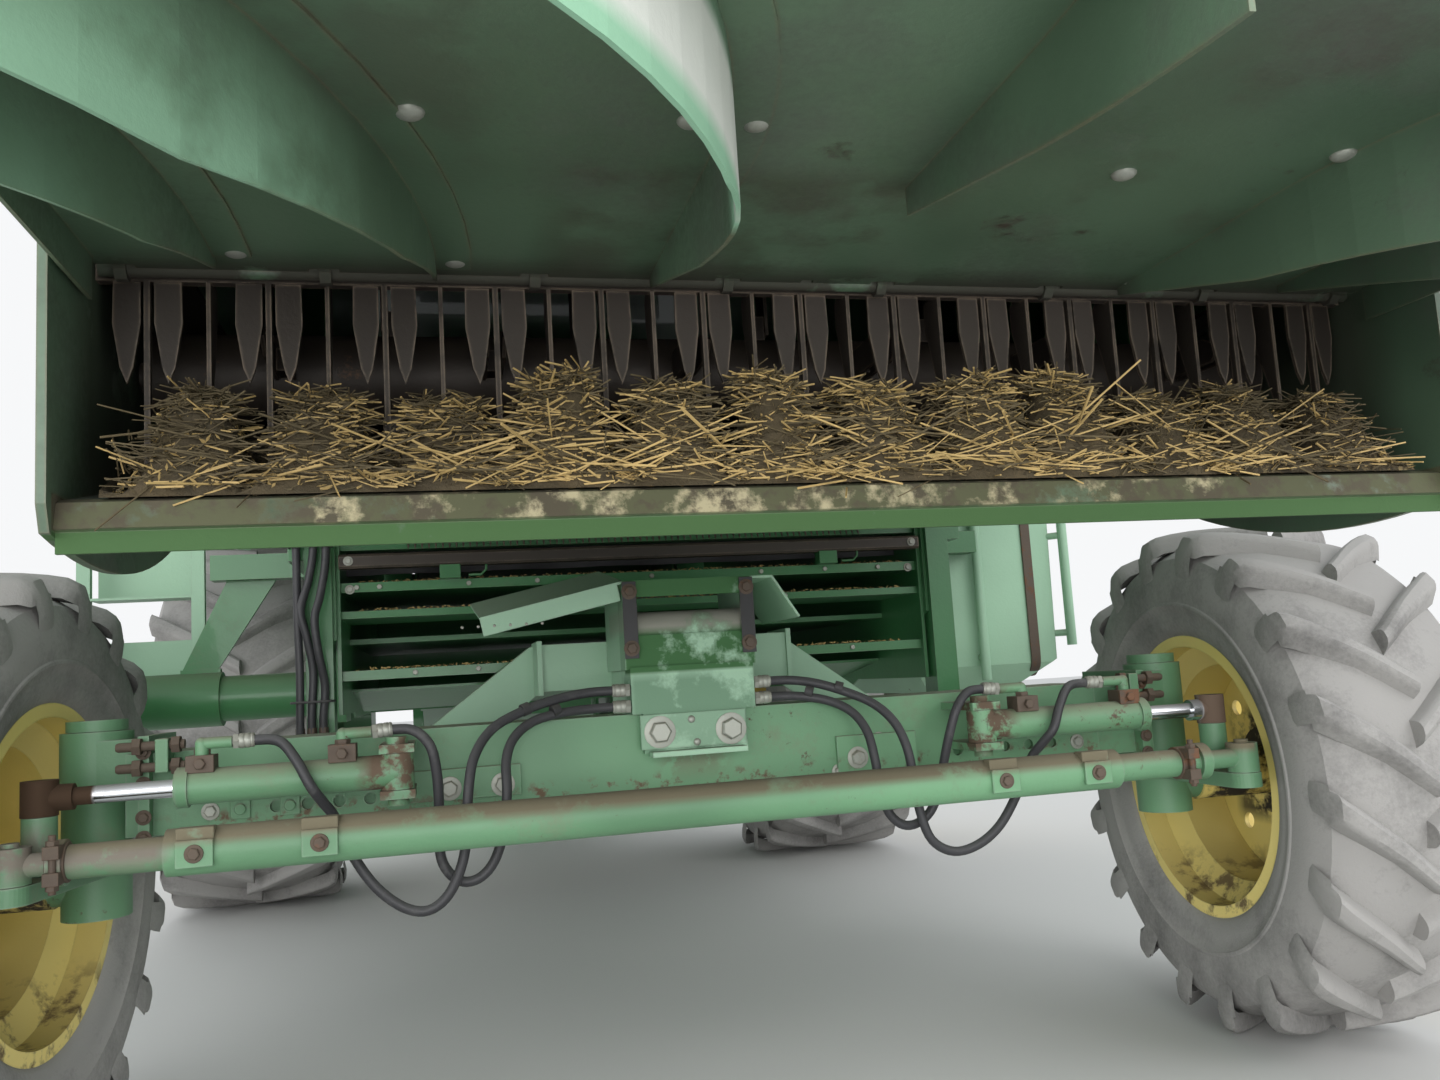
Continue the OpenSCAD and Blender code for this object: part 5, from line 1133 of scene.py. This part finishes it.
def makeCab():
    y, z = cab["back"], cab["floor"]
    bm = bmesh.new()
    addPad(bm, (0, y + 0.64, z + 0.345), (0.245, 0.250, 0.052))
    cushion = makePiece("seatCushion", bm, "seatFabric", "machine", sharp=70)
    bm = bmesh.new()
    addPad(bm, (0, y + 0.345, z + 0.72), (0.225, 0.315, 0.050), turn=math.radians(98))
    backrest = makePiece("seatBackrest", bm, "seatFabric", "machine", sharp=70)
    for pad in (cushion, backrest):
        rounding = pad.modifiers.new("softer", "SUBSURF")
        rounding.levels = rounding.render_levels = 1
    bm = bmesh.new()
    addBlock(bm, (-0.20, y + 0.45, z), (0.20, y + 0.80, z + 0.05))
    for i in range(7):
        grow = 0.012 * (i % 2)
        addBlock(
            bm, (-0.16 - grow, y + 0.49 - grow, z + 0.05 + 0.03 * i),
            (0.16 + grow, y + 0.76 + grow, z + 0.08 + 0.03 * i)
        )
    addBlock(bm, (-0.20, y + 0.44, z + 0.258), (0.20, y + 0.84, z + 0.292))
    addBlock(bm, (0.27, y + 0.50, z), (0.43, y + 1.05, z + 0.50))
    addBlock(bm, (0.262, y + 0.49, z + 0.50), (0.438, y + 1.058, z + 0.535))
    for i in range(3):
        for j in range(4):
            addStub(
                bm, back((0.30 + 0.045 * i, y + 0.62 + 0.06 * j, z + 0.534)), (0, 0, 1),
                [(0, 0.011), (0.008, 0.011), (0.010, 0.009)], 12
            )
    lever = ((0.33, y + 0.92, z + 0.53), (0.33, y + 0.925, z + 0.552), (0.33, y + 0.93, z + 0.560))
    addTube(bm, backAll(lever), 0.014, 12)
    base = makePiece("seatBaseAndConsole", bm, "blackPlastic", "machine", bevel=0.006)
    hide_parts("operator_seat")
    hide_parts("operator_seat")
    lenses, bezels, domes, rings, mirrors = (bmesh.new() for _ in range(5))
    front = cab["lampFront"]
    for side in (-1, 1):
        for x in (0.15, 0.42, 0.69):
            low, high = sorted((side * (x + 0.014), side * (x + 0.156)))
            addBlock(lenses, (low, front - 0.001, 3.563), (high, front + 0.006, 3.627))
            for i in range(7):
                place = low + (high - low) * (i + 0.5) / 7
                addBlock(
                    lenses, (place - 0.004, front + 0.005, 3.567), (place + 0.004, front + 0.009, 3.623)
                )
            for a, b in outlineBars((low - 0.012, 3.552), (high + 0.012, 3.638), 0.012, 0.011):
                addBlock(bezels, (a[0], front - 0.001, a[1]), (b[0], front + 0.012, b[1]))
        size = cab["beacon"]
        addStub(
            domes, back((side * 0.70, 3.60, 3.862)), (0, 0, 1),
            [
                (0, size), (0.075, size), (0.094, size * 0.93), (0.108, size * 0.72), (0.1185, size * 0.35),
                (0.121, 0.004)
            ],
            32
        )
        addStub(
            rings, back((side * 0.70, 3.60, 3.829)), (0, 0, 1),
            [(0, size + 0.012), (0.012, size + 0.012), (0.02, size + 0.003), (0.034, size + 0.003)], 32
        )
        addSideBlock(mirrors, side, (1.263, 4.9995, 2.995), (1.437, 5.0042, 3.466))
    makePiece("workLampLenses", lenses, "lampClear", "machine", bevel=0.0015)
    makePiece("workLampBezels", bezels, "blackPlastic", "machine", bevel=0.002)
    makePiece("beaconDomes", domes, "lampAmber", "machine", sharp=40)
    makePiece("beaconRings", rings, "blackPlastic", "machine", sharp=30)
    makePiece("mirrorGlasses", mirrors, "mirrorGlass", "machine", bevel=0.001)
    bm = bmesh.new()
    x = -0.8545
    for low, high in outlineBars((4.00, 2.19), (4.73, 3.570), 0.016, 0.016):
        addBlock(bm, (x, low[0], low[1]), (x + 0.03, high[0], high[1]))
    makePiece("doorSeal", bm, "blackPlastic", "cab_door", bevel=0.002)


makeCab()

# Body: ribs, seams, fastener rows, louvre blades, lamps, screen wires and treads. Nothing is lettered.
# Half widths of the walls that the trim lies on, and the radius of a rivet.
body = {"tank": 1.48, "hood": 1.12, "separator": 0.86, "rearHood": 0.96, "rivet": 0.0075}


def addRow(bm, start, end, count, direction):
    start, end = Vector(start), Vector(end)
    for i in range(count):
        addDome(
            bm, back(start.lerp(end, i / max(1, count - 1))), direction, body["rivet"], body["rivet"] * 0.5
        )


def makeBody():
    ribs, rivets, plates, black, red, amber, zinc = (bmesh.new() for _ in range(7))
    for side in (-1, 1):
        out = (side, 0, 0)

        def wall(x, y0, z0, y1, z1, thick, bm=plates):
            addSideBlock(bm, side, (x - 0.0005, y0, z0), (x + thick, y1, z1))

        tank, hood, separator, rearHood = (body[part] for part in ("tank", "hood", "separator", "rearHood"))
        for y in (1.58, 1.98, 2.38, 2.78, 3.18):
            wall(tank, y - 0.022, 2.56, y + 0.022, 3.33, 0.010, ribs)
        wall(tank, 1.505, 3.352, 3.265, 3.384, 0.012, ribs)
        addRow(rivets, (side * (tank + 0.012), 1.54, 3.368), (side * (tank + 0.012), 3.23, 3.368), 22, out)
        addRow(rivets, (side * tank, 1.53, 2.60), (side * tank, 1.53, 3.30), 9, out)
        # Hood side, louvre blades and catches.
        wall(hood, 0.46, 2.535, 1.46, 2.56, 0.008, ribs)
        addRow(rivets, (side * hood, 0.45, 2.60), (side * hood, 0.45, 3.02), 5, out)
        for y in (0.62, 1.32):
            wall(hood, y - 0.03, 2.575, y + 0.03, 2.625, 0.014, black)
        # Separator wall under the shields: access covers with their catches.
        for y0, y1 in ((1.62, 2.12), (2.20, 2.62)):
            wall(separator, y0, 1.06, y1, 1.36, 0.006)
            for y in (y0 + 0.06, y1 - 0.06):
                wall(separator + 0.006, y - 0.022, 1.318, y + 0.022, 1.345, 0.012, black)
            addRow(
                rivets, (side * (separator + 0.006), y0 + 0.03, 1.082),
                (side * (separator + 0.006), y1 - 0.03, 1.082), 6, out
            )
        addRow(rivets, (side * separator, 0.52, 2.46), (side * separator, 3.28, 2.46), 30, out)
        # Rear hood: side seam, rivets, tail lamps and reflectors.
        wall(rearHood, -1.24, 1.715, 0.37, 1.740, 0.008, ribs)
        wall(rearHood, -0.27, 1.74, -0.245, 2.58, 0.008, ribs)
        addRow(rivets, (side * rearHood, -1.22, 1.765), (side * rearHood, 0.35, 1.765), 18, out)
        wall(rearHood, -0.98, 1.86, -0.86, 1.90, 0.006, amber)
        low, high = sorted((side * 0.70, side * 0.92))
        addBlock(black, (low, -1.295, 1.90), (high, -1.2695, 2.01))
        middle = low + (high - low) * (0.36 if side > 0 else 0.64)
        for a, b, bm in (
            (low + 0.008, middle - 0.003, red if side < 0 else amber),
            (middle + 0.003, high - 0.008, amber if side < 0 else red)
        ):
            addBlock(bm, (a, -1.305, 1.908), (b, -1.2945, 2.002))
        # Chopper bearing on each side plate.
        place = back((side * 1.0495, -0.865, 1.560))
        addStub(
            zinc, place, out, [(0, 0.088), (0.010, 0.088), (0.012, 0.070), (0.030, 0.062), (0.034, 0.050)],
            32
        )
        for i in range(4):
            angle = math.pi / 4 + i * math.pi / 2
            addStub(
                zinc, place + Vector((side * 0.009, 0.074 * math.cos(angle), 0.074 * math.sin(angle))), out,
                [(0, 0.011), (0.009, 0.011), (0.010, 0.009)], 6
            )
        # Final drive bolts.
        for i in range(12):
            angle = i * math.pi / 6
            addStub(
                zinc, back((side * 1.084, 3.75 + 0.18 * math.cos(angle), 0.925 + 0.18 * math.sin(angle))),
                out, [(0, 0.012), (0.012, 0.012), (0.014, 0.010)], 6
            )
    # Louvre blades behind the slots of the hood, left side and rear.
    for i in range(8):
        z = 2.695 + 0.06 * i
        blade = ((-1.121, z - 0.013), (-1.106, z + 0.016), (-1.104, z + 0.014), (-1.119, z - 0.015))
        addLoft(ribs, [backAll((x, y, edge) for x, edge in blade) for y in (0.502, 1.198)])
        z = 2.652 + 0.05 * i
        blade = ((0.400, z - 0.011), (0.4145, z + 0.013), (0.4165, z + 0.011), (0.402, z - 0.013))
        addLoft(ribs, [backAll((x, y, edge) for y, edge in blade) for x in (-0.698, 0.698)])
    # Blank plate and its light bar on the rear hood, door outline above it.
    addBlock(zinc, (-0.26, -1.2775, 1.80), (0.26, -1.2695, 1.92))
    addBlock(black, (-0.10, -1.298, 1.925), (0.10, -1.2695, 1.945))
    for low, high in outlineBars((-0.62, 1.74), (0.62, 2.032), 0.012, 0.012):
        addBlock(ribs, (low[0], -1.275, low[1]), (high[0], -1.2695, high[1]))
    addRow(rivets, (-0.93, -1.27, 1.718), (0.93, -1.27, 1.718), 24, (0, -1, 0))
    # Grain tank: rear and front seams.
    for y, way in ((1.50, -1), (3.27, 1)):
        for x in (-1.1, -0.55, 0, 0.55, 1.1):
            low, high = sorted((y, y + way * 0.009))
            addBlock(ribs, (x - 0.022, low, 3.26 if way < 0 else 2.56), (x + 0.022, high, 3.34))
        addRow(rivets, (-1.44, y, 3.36), (1.44, y, 3.36), 36, (0, way, 0))
    # Cab roof hatch.
    addLoft(
        plates,
        [
            [
                back((x * s, 4.12 + y * s, 3.829 + h))
                for x, y in ((-0.32, -0.3), (0.32, -0.3), (0.32, 0.3), (-0.32, 0.3))
            ]
            for s, h in ((1, -0.004), (1, 0.012), (0.95, 0.020))
        ]
    )
    # Exhaust clamps, cleaner band and cap.
    for z, r in ((3.30, 0.077), (3.58, 0.077)):
        addStub(
            zinc, back((-0.65, 1.15, z)), (0, 0, 1),
            [(0, r), (0.001, r + 0.003), (0.021, r + 0.003), (0.022, r)], 32
        )
    for z in (3.27, 3.44):
        addStub(
            black, back((-0.65, 0.60, z)), (0, 0, 1),
            [(0, 0.141), (0.002, 0.145), (0.024, 0.145), (0.026, 0.141)], 40
        )
    addStub(
        black, back((-0.65, 0.60, 3.498)), (0, 0, 1),
        [(0, 0.142), (0.02, 0.146), (0.03, 0.10), (0.05, 0.09), (0.056, 0.05)], 40
    )
    makePiece("bodyRibs", ribs, "machineGreen", "machine", bevel=0.002)
    makePiece("bodyRivets", rivets, "machineGreen", "machine", sharp=40)
    makePiece("bodyCovers", plates, "machineGreen", "machine", bevel=0.003)
    makePiece("bodyBlackFittings", black, "blackPlastic", "machine", bevel=0.0015)
    makePiece("tailLampsRed", red, "lampRed", "machine", bevel=0.002)
    makePiece("sideMarkersAmber", amber, "lampAmber", "machine", bevel=0.002)
    makePiece("bodyZincFittings", zinc, "zincSteel", "machine", sharp=30)


makeBody()


def makeShieldTrim():
    for side, word in ((-1, "left"), (1, "right")):
        out = (side, 0, 0)
        rivets, black = bmesh.new(), bmesh.new()
        for z in (1.60, 2.46):
            addRow(rivets, (side * 1.65, 1.07, z), (side * 1.65, 2.72, z), 20, out)
        for y in (1.06, 2.73):
            addRow(rivets, (side * 1.65, y, 1.66), (side * 1.65, y, 2.40), 9, out)
        for y in (1.45, 2.35):
            addSideBlock(black, side, (1.6495, y - 0.07, 1.625), (1.656, y + 0.07, 1.675))
            grip = ((1.653, -0.05), (1.668, -0.045), (1.670, 0), (1.668, 0.045), (1.653, 0.05))
            addTube(black, backAll((side * x, y + along, 1.650) for x, along in grip), 0.006, 8)
        makePiece("shieldRivets_" + word, rivets, "machineGreen", "side_shield_" + word, sharp=40)
        makePiece("shieldHandles_" + word, black, "blackPlastic", "side_shield_" + word, bevel=0.001)
        makeValves(side, word)


def makeValves(side, word):
    for rear, wheel, inner in ((True, "rear", (0.090, 0, 0.312)), (False, "front", (0.200, 0, 0.367))):
        bm = bmesh.new()
        inner = Vector(inner)
        addTube(bm, [inner, inner + Vector((0.03, 0, -0.012)), inner + Vector((0.06, 0, -0.030))], 0.006, 8)
        bmesh.ops.transform(bm, matrix=wheelPlace(side, rear), verts=bm.verts)
        makePiece(wheel + "Valve_" + word, bm, "zincSteel", wheel + "_wheel_" + word, sharp=50)


def makeScreenWires():
    bm = bmesh.new()
    centre = Vector((1.2462, 0.76, 2.90))
    for i in range(9):
        radius = 0.075 + 0.038 * i
        path = []
        for k in range(49):
            angle = k * math.pi / 24
            path.append(back(centre + Vector((0.001, radius * math.cos(angle), radius * math.sin(angle)))))
        addTube(bm, path, 0.0028, 6, caps=False)
    for k in range(24):
        angle = k * math.pi / 12
        way = Vector((0, math.cos(angle), math.sin(angle)))
        addTube(
            bm, [back(centre + way * reach + Vector((0.002, 0, 0))) for reach in (0.055, 0.39)], 0.003, 6
        )
    makePiece("screenWires", bm, "zincSteel", "rotary_screen", sharp=60)


def makeAugerBolts():
    bm = bmesh.new()
    ring = 0.193
    for y in (2.43, 0.63, -1.17):
        for i in range(14):
            angle = 2 * math.pi * i / 14
            place = back((-1.71 + ring * math.cos(angle), y + 0.02, 3.33 + ring * math.sin(angle)))
            addStub(bm, place, (0, 1, 0), [(0, 0.008), (0.010, 0.008), (0.011, 0.006)], 6)
    makePiece("augerBolts", bm, "zincSteel", "unloading_auger", sharp=30)


# Feeder house: bolted ribs, and the conveyor's slats on three chains.
def feederHeight(y, off):
    slope = math.radians(17.5)
    return 1.6 + off / math.cos(slope) - (y - 3.5) * math.tan(slope)


def makeFeederTrim():
    bm = bmesh.new()
    for side in (-1, 1):
        for along in (4.11, 4.71, 5.31):
            for v in (-0.2, -0.07, 0.07, 0.2):
                y = along + 0.025
                addDome(bm, back((side * 0.712, y, feederHeight(y, v))), (side, 0, 0), 0.010, 0.006)
    makePiece("feederRivets", bm, "machineGreen", "feeder_house", sharp=40)
    bm = bmesh.new()
    for i in range(12):
        y = 4.10 + 0.12 * i
        z = feederHeight(y, -0.245)
        addBlock(bm, (-0.64, y - 0.004, z), (0.64, y + 0.004, z + 0.028))
        addBlock(bm, (-0.64, y - 0.004, z), (0.64, y + 0.028, z + 0.004))
    for x in (-0.60, 0, 0.60):
        for i in range(36):
            y = 4.08 + 0.04 * i
            z = feederHeight(y, -0.252)
            addStub(bm, back((x - 0.014, y, z)), (1, 0, 0), [(0, 0.008), (0.028, 0.008)], 10)
            addBlock(bm, (x - 0.010, y, z - 0.005), (x + 0.010, y + 0.040, z + 0.003))
    makePiece("feederSlats", bm, "knifeSteel", "feeder_house", sharp=35)


# Treads: grip studs on the front ladder's steps and the platform.
def makeGripStuds():
    bm = bmesh.new()
    for i in range(6):
        z = 0.612 + 0.255 * i
        y = 5.15 - (z - 0.572) * 0.142
        for row in range(4):
            for k in range(15):
                addDome(bm, back((-1.78 + 0.030 * k, y - 0.075 + 0.04 * row, z)), (0, 0, 1), 0.007, 0.004)
    for row in range(26):
        for k in range(29):
            place = back((-1.835 + 0.032 * k, 3.37 + 0.058 * row, 2.030))
            addStub(bm, place, (0, 0, 1), [(0, 0.009), (0.003, 0.005)], 4, 0.3 + 0.785 * ((row + k) % 2))
    makePiece("gripStuds", bm, "machineGreen", "machine", sharp=30)


makeShieldTrim()
makeScreenWires()
makeAugerBolts()
makeFeederTrim()
makeGripStuds()
print("cab, body and moving trim built")

# Wheels
rearTyre = {
    "radius": 0.6745, "half": 0.2395, "rim": 0.38, "bead": 0.2, "lugs": 18, "lugWidth": 0.062,
    "lugDepth": 0.040, "reach": 0.105
}
frontTyre = {
    "radius": 0.9245, "half": 0.3995, "rim": 0.435, "bead": 0.345, "lugs": 20, "lugWidth": 0.076,
    "lugDepth": 0.050, "reach": 0.150
}


def tyreProfile(tyre):
    carcass = tyre["radius"] - tyre["lugDepth"]
    rim, half, bead, depth = tyre["rim"], tyre["half"], tyre["bead"], tyre["lugDepth"]
    wall = [
        (rim + 0.002, bead + 0.001), (rim + 0.014, bead + 0.010), (rim + 0.030, half * 0.90),
        (rim + 0.045, half * 0.925), (rim + 0.052, half * 0.925)
    ]
    span = carcass - rim
    wall += [
        (rim + span * 0.32, half * 0.968), (rim + span * 0.335, half * 0.985),
        (rim + span * 0.36, half * 0.985), (rim + span * 0.375, half * 0.972)
    ]
    wall += [
        (rim + span * 0.52, half * 0.985), (carcass - depth * 1.9, half * 0.962),
        (carcass - depth * 1.0, half * 0.90), (carcass - depth * 0.35, half * 0.74), (carcass, half * 0.42),
        (carcass + 0.002, 0)
    ]
    inner = [(rim - 0.018, bead - 0.002), (rim + 0.001, bead - 0.001)]
    side = inner + wall
    return side + [(r, -x) for r, x in side[-2::-1]]


def makeTyre(name, tyre, place, body, replaced):
    bm = bmesh.new()
    profile = tyreProfile(tyre)
    sides = 96
    rings = []
    for i in range(sides):
        angle = 2 * math.pi * i / sides
        rings.append([Vector((x, r * math.sin(angle), r * math.cos(angle))) for r, x in profile])
    made = [[bm.verts.new(point) for point in ring] for ring in rings]
    for i in range(sides):
        low, high = made[i], made[(i + 1) % sides]
        for j in range(len(profile) - 1):
            bm.faces.new((low[j], low[j + 1], high[j + 1], high[j]))
        bm.faces.new((low[-1], low[0], high[0], high[-1]))
    r, half, depth = tyre["radius"], tyre["half"], tyre["lugDepth"]
    stations = [
        (-0.06, -1.0, 0.0), (0.05, -0.80, 0.0), (0.2, -0.5, 0.0), (0.38, -0.15, 0.0), (0.56, 0.16, 0.0),
        (0.74, 0.46, 0.002), (0.88, 0.70, 0.006), (0.955, 0.86, 0.016), (0.985, 0.96, 0.045),
        (0.992, 1.03, 0.085), (0.975, 1.06, 0.125)
    ]
    for lug in range(2 * tyre["lugs"]):
        side = 1 if lug % 2 else -1
        middle = 2 * math.pi * (lug / 2) / tyre["lugs"]
        loft = []
        for u, s, drop in stations:
            top = r - drop - 0.003 * max(u, 0) ** 2
            sink = depth + 0.012 if drop < 0.03 else depth * 0.55
            wide = tyre["lugWidth"] * (0.40 + 0.16 * max(u, 0)) * (0.9 if drop < 0.04 else 0.78)
            ring = []
            for offset, height in (
                (-wide - 0.016, -sink), (-wide - 0.003, -0.014), (-wide + 0.004, -0.005),
                (-wide + 0.014, 0), (wide - 0.014, 0), (wide - 0.004, -0.005), (wide + 0.003, -0.014),
                (wide + 0.016, -sink)
            ):
                out = top + height
                x = u * half if drop < 0.03 else u * half + height * 0.35
                if drop >= 0.03:
                    out = top + height * 0.25
                    x = (u * half) * (1 + height * 0.6)
                angle = middle + (s * tyre["reach"] + offset) / r
                ring.append(Vector((side * x, out * math.sin(angle), out * math.cos(angle))))
            loft.append(ring if side > 0 else ring[::-1])
        addLoft(bm, loft)
    bmesh.ops.transform(bm, matrix=place, verts=bm.verts)
    piece = makePiece(name, bm, "tyreRubber", body, sharp=32)
    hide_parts(replaced)


for side, word in ((-1, "left"), (1, "right")):
    makeTyre(
        "luggedRearTyre_" + word, rearTyre, wheelPlace(side, True), "rear_wheel_" + word,
        "rear_tyre_" + word
    )
    makeTyre(
        "luggedFrontTyre_" + word, frontTyre, wheelPlace(side, False), "front_wheel_" + word,
        "front_tyre_" + word
    )
print("tyres built")

# Lights, floor
studio = {"sky": 1.0, "key": 460, "fill": 420, "low": 330, "front": 420}
world = bpy.data.worlds.new("paleStudio")
scene.world = world
world.use_nodes = True
tree = world.node_tree
light = addNode(tree, "ShaderNodeBackground", {"Color": (0.93, 0.96, 1.0, 1), "Strength": studio["sky"]})
seen = addNode(tree, "ShaderNodeBackground", {"Color": (0.93, 0.94, 0.95, 1), "Strength": 1.0})
rays = addNode(tree, "ShaderNodeLightPath")
direct = sums(
    tree, "MAXIMUM", rays.outputs["Is Camera Ray"],
    sums(tree, "MAXIMUM", rays.outputs["Is Glossy Ray"], rays.outputs["Is Transmission Ray"])
)
mixed = addNode(tree, "ShaderNodeMixShader", {0: direct, 1: light.outputs[0], 2: seen.outputs[0]})
tree.links.new(mixed.outputs[0], tree.nodes["World Output"].inputs["Surface"])
for name, place, target, size, power in (
    ("keyLight", (6.5, -10.5, 6.5), (0, -1.5, 1.2), 7, studio["key"]),
    ("fillLight", (-7.5, -9.5, 4.0), (0, -2, 1.0), 7, studio["fill"]),
    ("lowLight", (-1.0, -9.5, 1.0), (0, -2.4, 1.4), 4.5, studio["low"]),
    ("frontLight", (-5.0, 12.0, 8.0), (0, 1, 1.5), 8, studio["front"]),
):
    lamp = bpy.data.lights.new(name, "AREA")
    lamp.energy = power
    lamp.size = size
    holder = bpy.data.objects.new(name, lamp)
    scene.collection.objects.link(holder)
    holder.matrix_world = Matrix.Translation(place) @ (
        Vector(place) - Vector(target)
    ).to_track_quat("Z", "Y").to_matrix().to_4x4()

bm = bmesh.new()
bmesh.ops.create_grid(bm, x_segments=1, y_segments=1, size=40)
floorMesh = bpy.data.meshes.new("paleFloor")
bm.to_mesh(floorMesh)
bm.free()
floorFinish = bpy.data.materials.new("paleFloor")
floorFinish.use_nodes = True
floorFinish.node_tree.nodes["Principled BSDF"].inputs["Base Color"].default_value = (0.62, 0.62, 0.60, 1)
floorFinish.node_tree.nodes["Principled BSDF"].inputs["Roughness"].default_value = 0.9
floorMesh.materials.append(floorFinish)
floor = bpy.data.objects.new("paleFloor", floorMesh)
scene.collection.objects.link(floor)
print("studio set")
